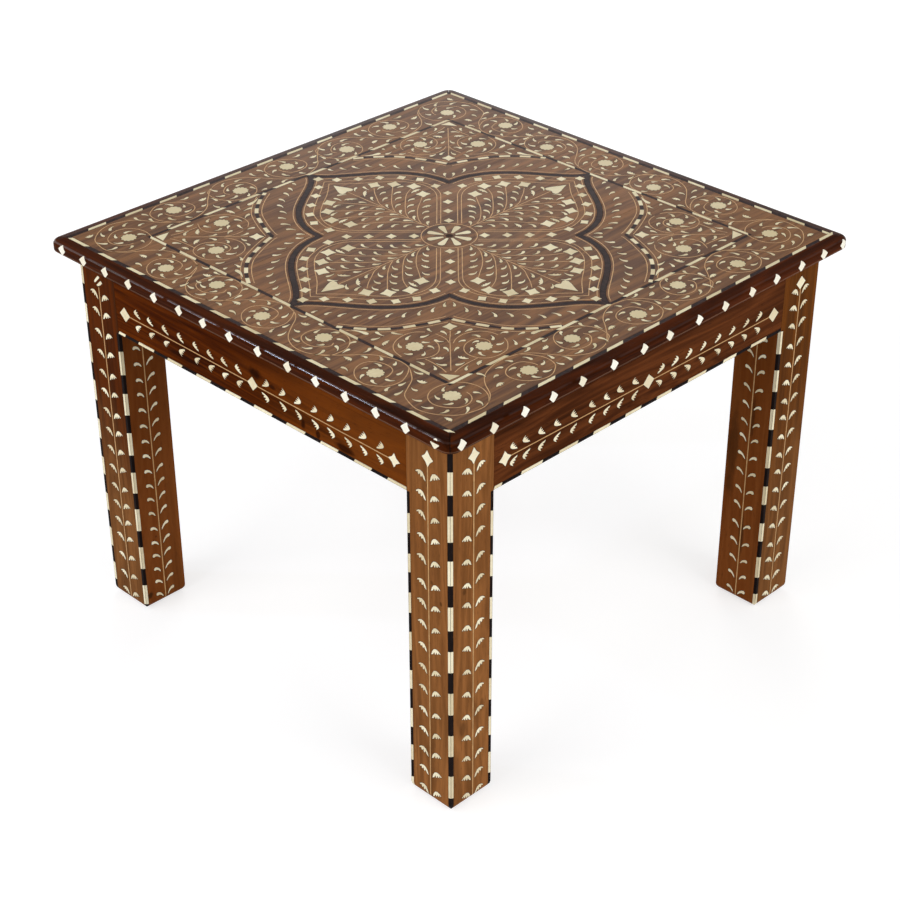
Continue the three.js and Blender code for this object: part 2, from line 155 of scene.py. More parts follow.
class KursiStudio(bpy.types.PropertyGroup):
    """Floor, light and background"""

    floor: amount("Floor paleness", "Share of light that the floor gives back", 0.82, subtype="FACTOR")
    floor_glow: amount("Floor glow", "Light that the seen floor gives of its own, so that it is white", 0.65)
    sky: amount("Light from all round", "Strength of the light that comes from all round", 0.43, 2)
    key: amount("Main lamp", "Power of the large lamp over the front", 50, 500, unit="POWER")
    side: amount("Side lamp", "Power of the lamp on the right", 44, 500, unit="POWER")
    back: amount("Back lamp", "Power of the lamp behind that gives the top its sheen", 22, 500, unit="POWER")
    glint: amount("Window", "Power of the small cool lamp that glints on the moulding", 9, 500, unit="POWER")


# Shader maths


class Wire:
    """An output of a shader node that can be used in an expression."""

    def __init__(self, finish, socket):
        self.finish = finish
        self.socket = socket

    def __add__(self, other):
        return self.finish.maths("ADD", self, other)

    def __radd__(self, other):
        return self.finish.maths("ADD", other, self)

    def __sub__(self, other):
        return self.finish.maths("SUBTRACT", self, other)

    def __rsub__(self, other):
        return self.finish.maths("SUBTRACT", other, self)

    def __mul__(self, other):
        return self.finish.maths("MULTIPLY", self, other)

    def __rmul__(self, other):
        return self.finish.maths("MULTIPLY", other, self)


class Finish:
    """A material under construction, with its shader and the nodes that feed it."""

    def __init__(self, name, owner=None):
        self.holder = owner or bpy.data.materials.new(name)
        self.holder.use_nodes = True
        self.tree = self.holder.node_tree
        self.tree.nodes.clear()

    def node(self, kind, settings, values, output=0):
        """Adds a node: its settings first, then the values or wires of its inputs."""
        made = self.tree.nodes.new(kind)
        for name, value in settings.items():
            setattr(made, name, value)
        for name, value in values.items():
            if isinstance(value, Wire):
                self.tree.links.new(value.socket, made.inputs[name])
            else:
                made.inputs[name].default_value = value
        return Wire(self, made.outputs[output])

    def maths(self, operation, first, second):
        return self.node("ShaderNodeMath", {"operation": operation}, {0: first, 1: second})

    def absolute(self, value):
        return self.maths("ABSOLUTE", value, 0.0)

    def vector(self, operation, first, second):
        return self.node("ShaderNodeVectorMath", {"operation": operation}, {0: first, 1: second})

    def reach(self, vector):
        return self.node("ShaderNodeVectorMath", {"operation": "LENGTH"}, {0: vector}, "Value")

    def step(self, value, low, high):
        """0 below the low value and 1 above the high one, smooth between them."""
        return self.node(
            "ShaderNodeMapRange", {"interpolation_type": "SMOOTHSTEP", "clamp": True},
            {"Value": value, "From Min": low, "From Max": high})

    def mix(self, share, first, second):
        """The first colour where the share is 0 and the second where it is 1."""
        def full(tint):
            return tint if isinstance(tint, Wire) else (*tint, 1)
        tints = {0: share, 6: full(first), 7: full(second)}
        return self.node("ShaderNodeMix", {"data_type": "RGBA"}, tints, 2)

    def place(self, seed=0, stretch=(1, 1, 1)):
        """Where a point is on the table, moved by a seed and squeezed along each axis."""
        spot = self.node("ShaderNodeTexCoord", {}, {}, "Object")
        moved = self.vector("ADD", spot, (seed * 0.731, seed * 1.37, seed * 0.419))
        return self.vector("MULTIPLY", moved, stretch)

    def axis(self, number):
        """How far along one axis a point is: 0 for x, 1 for y, 2 for z."""
        return self.node("ShaderNodeSeparateXYZ", {}, {"Vector": self.place()}, number)

    def noise(self, seed, scale, detail=3, roughness=0.55, distortion=0, stretch=(1, 1, 1)):
        """Clouds from 0 to 1, moved by a seed and squeezed along each axis."""
        return self.node("ShaderNodeTexNoise", {}, {
            "Vector": self.place(seed, stretch), "Scale": scale, "Detail": detail, "Roughness": roughness,
            "Distortion": distortion})

    def blot(self, spot, squeeze, reach):
        """1 in a ragged patch about a spot and 0 away from it."""
        away = self.vector("SUBTRACT", self.node("ShaderNodeTexCoord", {}, {}, "Object"), spot)
        far = self.reach(self.vector("MULTIPLY", away, squeeze))
        ragged = self.noise(2, scale=90, stretch=[0.4 + 0.4 * c for c in squeeze])
        return 1 - self.step(far + ragged * reach * 0.9, reach * 0.85, reach * 1.45)

    def surface(self, base, roughness, height, depth, softened=0.0, **constants):
        """Ends the material with its shader. Heights are in shares of the depth, in metres."""
        values = {"Height": height, "Strength": 1.0, "Distance": depth}
        if softened:
            values["Normal"] = self.node("ShaderNodeBevel", {"samples": 4}, {"Radius": softened})
        normal = self.node("ShaderNodeBump", {}, values)
        inputs = {"Base Color": base, "Roughness": roughness, "Normal": normal}
        for name, value in constants.items():
            inputs[name.replace("_", " ")] = value
        shader = self.node("ShaderNodeBsdfPrincipled", {}, inputs)
        self.end(shader)
        return self.holder

    def end(self, shader):
        kind = "World" if isinstance(self.holder, bpy.types.World) else "Material"
        output = self.tree.nodes.new("ShaderNodeOutput" + kind)
        self.tree.links.new(shader.socket, output.inputs["Surface"])


def wood(name, grain, seed, light, dark, gloss=0.42, specular=0.2, coat=None, veins=0.5, blots=(),
         softened=0.6, change=None):
    """Open-pored wood with its grain along the axis that is given: 0, 1 or 2.

    The blots are dark knots and streaks, each with its place, how it is squeezed along each axis, its reach in
    metres and its depth of tone.
    """
    name = "kursi_wood_" + name
    finish = Finish(name)
    seed = random.Random(name).uniform(0, 30) + seed

    def along(share):
        return tuple(share if axis == grain else 1 for axis in range(3))

    slow = finish.noise(seed, scale=7, detail=2)
    figure = finish.noise(seed + 3, scale=120, detail=5, roughness=0.62, distortion=0.6, stretch=along(0.045))
    broad = finish.noise(seed + 5, scale=24, roughness=0.5, distortion=1.1, stretch=along(0.09))
    rings = finish.maths("PINGPONG", broad * 7, 0.5) * 2
    base = finish.mix(finish.step(figure * 0.62 + rings * 0.22 + slow * 0.3, 0.34, 0.86), dark, light)
    if change:
        base = change(finish, base)
    streak = shaded(dark, 0.34)
    vein = finish.noise(seed + 11, scale=42, detail=4, roughness=0.6, distortion=0.8, stretch=along(0.05))
    base = finish.mix(finish.step(vein, 0.53, 0.7) * veins, base, streak)
    fine = finish.noise(seed + 7, scale=1500, detail=2, roughness=0.6, stretch=along(0.06))
    pores = finish.step(fine, 0.6, 0.72)
    base = finish.mix(pores * 0.6, base, shaded(dark, 0.3))
    for spot, squeeze, reach, depth in blots:
        base = finish.mix(finish.blot(spot, squeeze, reach) * depth, base, streak)
    sheen = gloss + (slow - 0.5) * 0.12 + pores * 0.12
    height = figure * 0.35 - pores * 0.65
    return finish.surface(
        base, sheen, height, 0.00012, softened * MM, Specular_IOR_Level=specular,
        Coat_Weight=coat(finish) if coat else 0.0, Coat_Roughness=0.2)


def lighter_to_the_right(light):
    """Makes the front left apron paler and more orange towards the front leg."""
    def change(finish, base):
        cloud = finish.noise(4, scale=9, stretch=(1, 1, 3))
        return finish.mix(finish.step(finish.axis(0) + cloud * 0.1, -0.02, 0.24) * 0.42, base, light)
    return change


def pale_line_and_dark_mitres(worn, seam=hue(20, 10, 6)):
    """Makes the moulding pale along its lower arris and dark in its mitres."""
    def change(finish, base):
        x, y, z = (finish.axis(number) for number in range(3))
        from_mitre = finish.absolute(finish.absolute(x) - finish.absolute(y))
        base = finish.mix((1 - finish.step(from_mitre, 0.0003, 0.0009)) * 0.8, base, seam)
        cloud = finish.noise(6, scale=140)
        from_line = finish.absolute(z + (cloud - 0.5) * 0.0008 - PALE_LINE_LEVEL)
        return finish.mix((1 - finish.step(from_line, 0.0002, 0.0007)) * 0.7, base, worn)
    return change


def darker_upwards(dark, share, inside=hue(126, 58, 12)):
    """Makes a leg's outer faces darker towards its top, and its inner faces redder."""
    def change(finish, base):
        x, y, z = (finish.axis(number) for number in range(3))
        far = finish.maths("MAXIMUM", finish.absolute(x), finish.absolute(y))
        outer = finish.step(far, (HALF_FRAME - 1.5) * MM, (HALF_FRAME - 0.5) * MM)
        cloud = finish.noise(5, scale=20, stretch=(1, 1, 0.3))
        base = finish.mix((1 - outer) * 0.55, base, inside)
        grain = finish.noise(12, scale=110, detail=4, roughness=0.6, distortion=0.5, stretch=(1, 1, 0.05))
        deep = finish.mix(finish.step(grain, 0.3, 0.72), shaded(dark, 0.55), shaded(dark, 1.45))
        return finish.mix(finish.step(z + cloud * 0.2, 0.2, 0.42) * (outer * 0.75 + 0.25) * share, base, deep)
    return change


def arris_gloss(finish):
    """1 along the middle of the moulding's upper arris, little on its right side, and 0 elsewhere."""
    off = finish.absolute(finish.axis(2) - GLOSSY_LEVEL)
    broken = finish.noise(8, scale=55)
    dull = 1 - 0.75 * finish.step(finish.axis(0), *RIGHT_SIDE)
    return (1 - finish.step(off, 0.0004, 0.001)) * finish.step(broken, 0.3, 0.42) * dull


def ebony(name, tint):
    """Ebony, nearly black on the legs and aprons and paler on the top."""
    finish = Finish(name)
    grain = finish.noise(4, scale=260, detail=4, roughness=0.6, distortion=0.5, stretch=(1, 1, 0.3))
    slow = finish.noise(9, scale=30, detail=2)
    base = finish.mix(finish.step(grain, 0.35, 0.75), shaded(tint, 0.55), shaded(tint, 1.5))
    on_top = finish.step(finish.axis(2), *EBONY_LEVELS)
    base = finish.mix(on_top, finish.mix(0.72, base, (0, 0, 0)), base)
    return finish.surface(base, 0.36 + slow * 0.16, grain, 0.00006, 0.0005, Specular_IOR_Level=0.025)


def bone(name, light, dark):
    """Bone: each piece has a tone of its own, faint streaks and fine pores."""
    finish = Finish(name)
    tone = finish.node(
        "ShaderNodeAttribute", {"attribute_type": "GEOMETRY", "attribute_name": "tone"}, {}, "Fac")
    streaks = finish.noise(1, scale=420, detail=4, roughness=0.6, distortion=0.4, stretch=(1, 0.25, 1))
    cloud = finish.noise(6, scale=90)
    pores = finish.step(finish.noise(8, scale=2600, detail=1, stretch=(1, 0.4, 1)), 0.68, 0.78)
    share = finish.step(tone * 0.55 + streaks * 0.5 + cloud * 0.35, 0.35, 1.05)
    base = finish.mix(pores * 0.35, finish.mix(share, light, dark), shaded(dark, 0.45))
    return finish.surface(
        base, 0.34 + cloud * 0.14 + pores * 0.1, streaks * 0.4 - pores * 0.6, 0.00005, Specular_IOR_Level=0.15)


def stringing(name, tint):
    finish = Finish(name)
    cloud = finish.noise(3, scale=160)
    fine = finish.noise(5, scale=1400, detail=2)
    base = finish.mix(finish.step(cloud, 0.3, 0.75), shaded(tint, 0.72), tint)
    return finish.surface(base, 0.4 + fine * 0.15, fine, 0.00003, Specular_IOR_Level=0.15, Metallic=0.1)


def mastic(name, tint):
    finish = Finish(name)
    crumbs = finish.noise(7, scale=1800, roughness=0.7)
    base = finish.mix(finish.step(crumbs, 0.4, 0.8), tint, shaded(tint, 1.6))
    return finish.surface(base, 0.6 + crumbs * 0.2, crumbs, 0.00005, Specular_IOR_Level=0.05)


def steel(name, dark=hue(126, 124, 120), light=hue(176, 176, 174)):
    finish = Finish(name)
    turning = finish.noise(2, scale=700, stretch=(1, 1, 4))
    base = finish.mix(finish.noise(5, scale=60, detail=2), dark, light)
    return finish.surface(base, 0.3 + turning * 0.2, turning, 0.00004, Metallic=1.0)


def material_called(name):
    return bpy.data.materials["kursi_" + name]


# Outlines, as lists of (x, y) in millimetres


def between(a, b, share):
    return a + (b - a) * share


def smooth(points, steps=6):
    """A smooth curve through the points."""
    curve = []
    for i in range(len(points) - 1):
        corners = [points[max(i - 1, 0)], points[i], points[i + 1], points[min(i + 2, len(points) - 1)]]
        for s in range(steps):
            t = s / steps
            curve.append(tuple(
                0.5 * (2 * b + (c - a) * t + (2 * a - 5 * b + 4 * c - d) * t * t
                       + (3 * b - a - 3 * c + d) * t ** 3)
                for a, b, c, d in zip(*corners)))
    curve.append(tuple(points[-1]))
    return curve


def turned(points, quarters):
    """The points turned about the middle of the top by quarter turns."""
    c, s = [(1, 0), (0, 1), (-1, 0), (0, -1)][quarters % 4]
    return [(x * c - y * s, x * s + y * c) for x, y in points]


def mirrored(points):
    return [(-x, y) for x, y in points]


def across_diagonal(points):
    """Mirrored in the diagonal that runs to the front corner."""
    return [(-y, -x) for x, y in points]


def area(outline):
    return sum(x0 * y1 - x1 * y0 for (x0, y0), (x1, y1) in zip(outline, outline[1:] + outline[:1])) / 2


def grown(outline, by):
    """A closed outline with every side moved outwards."""
    way = 1 if area(outline) > 0 else -1
    moved = []
    for i, (x, y) in enumerate(outline):
        (x0, y0), (x2, y2) = outline[i - 1], outline[(i + 1) % len(outline)]
        ax, ay, bx, by_ = x - x0, y - y0, x2 - x, y2 - y
        la, lb = math.hypot(ax, ay) or 1, math.hypot(bx, by_) or 1
        nx, ny = ay / la + by_ / lb, -ax / la - bx / lb
        n = math.hypot(nx, ny) or 1
        spread = min(2 / n, 1.8)
        moved.append((x + nx / n * by * spread * way, y + ny / n * by * spread * way))
    return moved


def beside(path, shift):
    """A line of points moved to its left."""
    moved = []
    for i, (x, y) in enumerate(path):
        (x0, y0), (x1, y1) = path[max(i - 1, 0)], path[min(i + 1, len(path) - 1)]
        n = math.hypot(x1 - x0, y1 - y0)
        moved.append((x - (y1 - y0) / n * shift, y + (x1 - x0) / n * shift))
    return moved


def stretch_of(path, start, end):
    """The part of a line between two distances along it."""
    kept, run = [], 0.0
    for (x0, y0), (x1, y1) in zip(path, path[1:]):
        step = math.hypot(x1 - x0, y1 - y0)
        low, high = max(start, run), min(end, run + step)
        if low < high:
            for d in (low, high):
                t = (d - run) / step
                point = (between(x0, x1, t), between(y0, y1, t))
                if not kept or math.dist(kept[-1], point) > 0.01:
                    kept.append(point)
        run += step
    return kept


# Width of a comma leaf along its length, as shares of its length and of its greatest width
COMMA_SHAPE = ((0.0, 0.1), (0.2, 0.3), (0.42, 0.52), (0.62, 0.78), (0.8, 0.98), (0.93, 0.94), (1.0, 0.62))
# A toothed leaf from its tail: shares of its length, and of its width across it
TOOTHED_SHAPE = (
    (0, 0), (0.14, 0.2), (0.32, 0.38), (0.55, 0.5), (0.78, 0.5), (0.98, 0.34), (1.08, 0.06), (1.12, -0.36),
    (0.94, -0.12), (0.8, -0.46), (0.68, -0.14), (0.5, -0.42), (0.38, -0.1), (0.18, -0.08))


def comma(tail, head, bend, width):
    """A comma leaf from its thin tail to its round head. It bulges to the left if the bend is more than 0."""
    (tx, ty), (hx, hy) = tail, head
    dx, dy = hx - tx, hy - ty
    mx, my = (tx + hx) / 2 - dy * bend * 2, (ty + hy) / 2 + dx * bend * 2
    left, right = [], []
    for t, share in COMMA_SHAPE:
        x = (1 - t) ** 2 * tx + 2 * t * (1 - t) * mx + t * t * hx
        y = (1 - t) ** 2 * ty + 2 * t * (1 - t) * my + t * t * hy
        vx, vy = between(mx - tx, hx - mx, t), between(my - ty, hy - my, t)
        n = math.hypot(vx, vy)
        nx, ny = -vy / n * width / 2 * share, vx / n * width / 2 * share
        left.append((x + nx, y + ny))
        right.append((x - nx, y - ny))
    return right + [(x + vx / n * width * 0.16, y + vy / n * width * 0.16)] + left[::-1]


def serrated(tail, head, side, width=6.0):
    """A broad leaf with teeth along one edge."""
    (tx, ty), (hx, hy) = tail, head
    reach = math.dist(tail, head)
    ux, uy = (hx - tx) / reach, (hy - ty) / reach
    return [(tx + ux * u * reach - uy * v * width * side, ty + uy * u * reach + ux * v * width * side)
            for u, v in TOOTHED_SHAPE]


def square(x, y, size, tilt=0.0, waist=0.0):
    """A square about a point. A waist of more than 0 draws the middles of its sides in."""
    inward = size / 2 * (1 - waist)
    corners = []
    for k in range(4):
        a, b = math.radians(45 + 90 * k + tilt), math.radians(90 + 90 * k + tilt)
        corners.append((x + size * 0.7071 * math.cos(a), y + size * 0.7071 * math.sin(a)))
        if waist:
            corners.append((x + inward * math.cos(b), y + inward * math.sin(b)))
    return corners


def flower(x, y, radius, lobes=11):
    outline = []
    for i in range(lobes * 6):
        a = 2 * math.pi * i / (lobes * 6)
        r = radius * (0.85 + 0.15 * abs(math.sin(a * lobes / 2)) ** 0.6)
        outline.append((x + r * math.cos(a), y + r * math.sin(a)))
    return outline


def circle(radius, steps=72):
    return [(radius * math.cos(2 * math.pi * i / steps), radius * math.sin(2 * math.pi * i / steps))
            for i in range(steps + 1)]


# Where outlines go: each turns (across, up, out) in millimetres into a point of the table


def on_top(u, v, out):
    return u, v, TOP_LEVEL + out


# Rounding of the feet, heights at which the inlay is cut to follow it, and how deep under a face inlay reaches
FOOT_ROUNDING, FOOT_CUTS, INLAY_REACH = 8, (3.2, 4.2, 5.4, 6.6, 8), 4.2


def drawn_in(height):
    """How far the legs' faces draw in at a height, where the feet are rounded."""
    low = min(max(FOOT_ROUNDING - height, 0), FOOT_ROUNDING)
    return FOOT_ROUNDING - math.sqrt(FOOT_ROUNDING ** 2 - low ** 2)


def drawn_to_foot(mesh):
    """Cuts a leg's inlay at a few heights of its foot and draws it in as the foot is rounded."""
    made = bmesh.new()
    made.from_mesh(mesh)
    for height in FOOT_CUTS:
        bmesh.ops.bisect_plane(
            made, geom=made.verts[:] + made.edges[:] + made.faces[:], plane_co=(0, 0, height * MM),
            plane_no=(0, 0, 1), dist=1e-7)
    middle = (HALF_FRAME + HALF_OPENING) / 2 * MM
    for point in made.verts:
        back = drawn_in(point.co.z / MM) * MM
        for axis in (0, 1):
            away = abs(point.co[axis]) - middle
            if back and abs(away) > (HALF_FRAME - HALF_OPENING) / 2 * MM - INLAY_REACH * MM:
                point.co[axis] -= math.copysign(back, away) * math.copysign(1, point.co[axis])
    made.to_mesh(mesh)
    made.free()


def on_face(quarters, distance):
    """An upright face, seen from outside: u runs to the right, v is the height."""
    def at(u, v, out):
        (x, y), = turned([(u, -distance - out)], quarters)
        return x, y, v
    return at


class Inlay:
    """Small pieces of one material, made into one object."""

    def __init__(self, name, slot, material):
        self.name, self.slot, self.material = name, slot, material
        self.points, self.faces, self.tones = [], [], []
        self.aged = 0.0
        self.chance = random.Random(name)

    def add(self, rings, faces, place, tone):
        """Adds a solid. Its faces are turned over where the place mirrors them."""
        start = len(self.points)
        self.points += [tuple(c * MM for c in place(*p)) for p in rings]
        o, u, v, w = (Vector(place(*p)) for p in ((0, 0, 0), (1, 0, 0), (0, 1, 0), (0, 0, 1)))
        flip = (u - o).cross(v - o).dot(w - o) < 0
        for face in faces:
            self.faces.append([start + i for i in (reversed(face) if flip else face)])
            self.tones.append(tone)

    def plate(self, outline, place, high, low, arris=0.0):
        """A flat piece with its top at one height and its bottom at another."""
        if area(outline) < 0:
            outline = outline[::-1]
        levels = [(outline, low), (outline, high - arris)]
        if arris:
            levels.append((grown(outline, -arris), high))
        self.stack(levels, place)

    def stack(self, levels, place):
        """A solid through rings of points, each ring an outline at a height."""
        n = len(levels[0][0])
        rings = [(x, y, h) for ring, h in levels for x, y in ring]
        faces = [list(range(n))[::-1], list(range(n * (len(levels) - 1), n * len(levels)))]
        for k in range(len(levels) - 1):
            low, high = k * n, (k + 1) * n
            faces += [[low + i, low + (i + 1) % n, high + (i + 1) % n, high + i] for i in range(n)]
        self.add(rings, faces, place, self.chance.random() + self.aged)

    def ribbon(self, path, width, place, high, low):
        """A narrow strip along a line of points."""
        left, right = beside(path, width / 2), beside(path, -width / 2)
        rings = []
        for a, b in zip(left, right):
            rings += [(*a, high), (*a, low), (*b, low), (*b, high)]
        last = 4 * (len(path) - 1)
        faces = [[0, 1, 2, 3], [last + 3, last + 2, last + 1, last]]
        for k in range(len(path) - 1):
            for i in range(4):
                j = (i + 1) % 4
                faces.append([4 * k + i, 4 * k + 4 + i, 4 * k + 4 + j, 4 * k + j])
        self.add(rings, faces, place, self.chance.random())

    def make(self, follow=None):
        """Makes the object. It may then be cut and bent to follow a curved face."""
        mesh = bpy.data.meshes.new(self.name)
        mesh.from_pydata(self.points, [], self.faces)
        tones = mesh.attributes.new("tone", "FLOAT", "FACE")
        tones.data.foreach_set("value", self.tones)
        if follow:
            follow(mesh)
        mesh.materials.append(self.material)
        piece = bpy.data.objects.new(self.name, mesh)
        bpy.context.scene.collection.objects.link(piece)
        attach(piece, "root")


# How far a piece is turned by hand, in degrees, and its size beside the drawn one
HAND_TURN, HAND_SIZE = 4, (0.94, 1.05)
# Mastic: its depth beside the bone's, how its width varies round bone, and its width and height beside a line
MASTIC_DEPTH, MASTIC_VARIES, LINE_MASTIC_WIDTH, LINE_MASTIC_HEIGHT = 0.8, (0.7, 1.5), 1.2, 0.9
# How much darker the flowers are than the leaves
FLOWER_AGED = 0.7


class InlaySet:
    """Bone, golden stringing and the dark mastic round them, for one place of the table."""

    def __init__(self, name, sizes):
        # Legs and aprons take the paler copy of the bone and the moulding the whitest: painted light
        kind = {"top": "bone", "edge": "white_bone"}.get(name.split("_")[0], "pale_bone")
        self.bone = Inlay(name + "_bone", "bone", material_called(kind))
        self.gold = Inlay(name + "_stringing", "stringing", material_called("stringing"))
        self.dark = Inlay(name + "_mastic", "mastic", material_called("mastic"))
        self.sizes = sizes
        self.chance = random.Random("places of " + name)

    def stray(self, outline):
        """The outline a little out of its place, turned and sized by hand."""
        wander = self.sizes.wander / MM
        cx, cy = (sum(p[k] for p in outline) / len(outline) for k in (0, 1))
        dx, dy = (self.chance.uniform(-wander, wander) for _ in "xy")
        turn = math.radians(self.chance.uniform(-HAND_TURN, HAND_TURN))
        scale = self.chance.uniform(*HAND_SIZE)
        c, s = math.cos(turn) * scale, math.sin(turn) * scale
        return [(cx + dx + (x - cx) * c - (y - cy) * s, cy + dy + (x - cx) * s + (y - cy) * c)
                for x, y in outline]

    def piece(self, outline, place=on_top, loose=True, aged=0.0):
        """A piece of bone. A loose one strays a little and has mastic round it, and an aged one is darker."""
        s = self.sizes
        self.bone.aged = aged
        if loose:
            outline = self.stray(outline)
        self.bone.plate(outline, place, s.proud / MM, -s.sink / MM, s.arris / MM)
        if loose:
            filled = grown(outline, s.gap / MM * self.chance.uniform(*MASTIC_VARIES))
            self.dark.plate(filled, place, s.mastic_proud / MM, -s.sink / MM * MASTIC_DEPTH)

    def line(self, path, place=on_top, width=None):
        """A golden line in mastic."""
        s = self.sizes
        width = (width or s.stringing) / MM
        self.gold.ribbon(path, width, place, s.string_proud / MM, -s.sink / MM)
        self.dark.ribbon(
            path, width + s.gap / MM * LINE_MASTIC_WIDTH, place, s.mastic_proud / MM * LINE_MASTIC_HEIGHT,
            -s.sink / MM * MASTIC_DEPTH)

    def make(self, follow=None):
        for part in (self.bone, self.gold, self.dark):
            if part.points:
                part.make(follow)


# The scrolling border. Leaves are (tail, head, bend) about the middle of their flower

FLOWER_A_LEAVES = [
    ((-3.3, 29), (1, 22.6), 0.15), ((-15.4, 12.3), (-5.4, 12.3), 0.15), ((13.9, 22.6), (16.7, 11.9), 0.15),
    ((-15.4, -4.6), (-11.9, 1.9), 0.22), ((-1.1, -18.1), (-6.1, -9.6), 0.15),
    ((16.7, -13.4), (7.4, -11), 0.18), ((23.9, 3.3), (15.3, -1), 0.2), ((33.1, 8.3), (32.4, -1), 0.08),
    ((28.9, -7.4), (31.7, -16), -0.15), ((41.7, -3.9), (42.4, -15.3), 0.12),
    ((-34.7, 12.6), (-27.6, 14), 0.2), ((-21.1, -16), (-31.9, -15.3), -0.18),
    ((-21.1, 24.7), (-14, 21.1), 0.15), ((-38.3, 19.7), (-39.7, 30.4), -0.15),
    ((22.4, 28.3), (32.4, 30.4), -0.18), ((43.1, 4.7), (51.7, 4.7), -0.18)]
FLOWER_A_SERRATED = [((-45.4, -0.3), (-35.4, 1.1), 1), ((37.4, 18.3), (46.7, 20.4), -1)]
FLOWER_B_LEAVES = [
    ((-2, 11), (3.5, 17), 0.2), ((22.6, 8.3), (11.4, 7.1), -0.18), ((29.7, -8.9), (20.4, -3.1), -0.15),
    ((-14.6, 9), (-13.4, 0.4), -0.08), ((-14.6, -10.3), (-3.9, -12.4), -0.15),
    ((5.4, -14.9), (10.4, -8.9), -0.15), ((-1.7, -28.1), (7.1, -21.7), -0.2),
    ((-21.7, -21.7), (-10.6, -22.4), -0.12), ((20.4, -29.6), (19, -16.7), -0.12),
    ((28.6, -26.4), (37.1, -26.4), 0.18), ((27.9, 7.9), (29.3, 16.4), 0.18),
    ((35.7, -8.6), (35.4, 2.1), 0.05), ((-16, 16.9), (-24.6, 16.9), 0.12)]
CORNER_LEAVES = [
    ((-16.8, 8.2), (-11.6, -0.2), -0.15), ((-12.8, -10.2), (-3.2, -12.2), -0.15),
    ((4.4, -17.4), (10, -8.6), -0.12), ((19.2, -2.2), (12, 5), -0.18), ((-4, 21.8), (-5.2, 14.6), -0.1),
    ((16.8, 21.8), (9.2, 18.2), -0.15), ((33.6, 7), (22.8, 9), -0.18), ((31.2, -15), (24.8, -4.6), -0.12),
    ((13.6, -31), (16, -20.6), -0.15), ((-6.4, -34.2), (2.8, -27.8), -0.15),
    ((-22.8, -30.2), (-13.2, -26.2), -0.15)]
CORNER_SERRATED = [((22, -33.4), (31.2, -32.6), 1)]
FLOWER_A_SPIRAL = [
    (15, 29.3), (22.2, 20.7), (28.6, 6.4), (26.5, -8), (17.9, -16.4), (6.5, -21.4), (-6.4, -19.3),
    (-17.8, -10.7), (-22.8, 0.7), (-20.7, 10.7), (-12.1, 17.1), (-0.7, 18.6), (7.9, 15), (12.2, 6.4),
    (12.9, 0.7)]
FLOWER_B_SPIRAL = [
    (16, -29.5), (29, -22), (32.9, -10.7), (31.5, 2.1), (22.9, 13.6), (10, 19.3), (-5.7, 17.8), (-15.7, 9.3),
    (-20, -2.2), (-17.1, -13.6), (-8.5, -19.3), (2.9, -20), (12.9, -13.6), (17.2, -6.4), (15, -0.7)]
CORNER_SPIRAL = [
    (33, 14), (24, 23.6), (10, 29.6), (-4, 28.2), (-16, 20), (-20.8, 8.2), (-21.6, -2.2), (-19.2, -11),
    (-12.8, -19), (-3.2, -23), (6.4, -21.4), (16, -15), (20.8, -7.8), (21.2, 0.2), (17.6, 8.2), (11.2, 13),
    (4.8, 14.2)]
CORNER_WAVE = [
    (-56, 1.8), (-47.2, -6.2), (-40, -18.2), (-32.8, -29.4), (-22.4, -35.4), (-8, -39.8), (3.2, -38.6),
    (13.6, -34.2), (24, -26.2), (30.4, -18.2), (34.4, -4.6), (35.2, 6.6), (31, 17), (22, 27.6), (6, 37.6),
    (-6, 50), (-13, 67.6)]
WAVE_DOWN = [(0, 0), (0.22, 0.08), (0.37, 0.245), (0.5, 0.515), (0.65, 0.785), (0.82, 0.945)]
WAVE_UP = [(0, 0), (0.17, 0.055), (0.33, 0.24), (0.5, 0.515), (0.615, 0.73), (0.73, 0.865), (0.86, 0.955)]
WAVE_TOP, WAVE_LOW = -227.6, -280.4
# Before the corner the vine dips: how much of the way along, and by how much
DIP_AT, DIP = 0.55, 2.5
FLOWER_A_LINE, FLOWER_B_LINE = -260.0, -247.0
CORNER = (242.5, -239.5)
# Places of the five flowers along each side
FLOWER_PLACES = [
    (-154, -87, -3, 74, 161), (-154, -79, 4, 81, 162), (-156, -75, 8, 86, 165), (-161, -80, 1, 81, 165)]


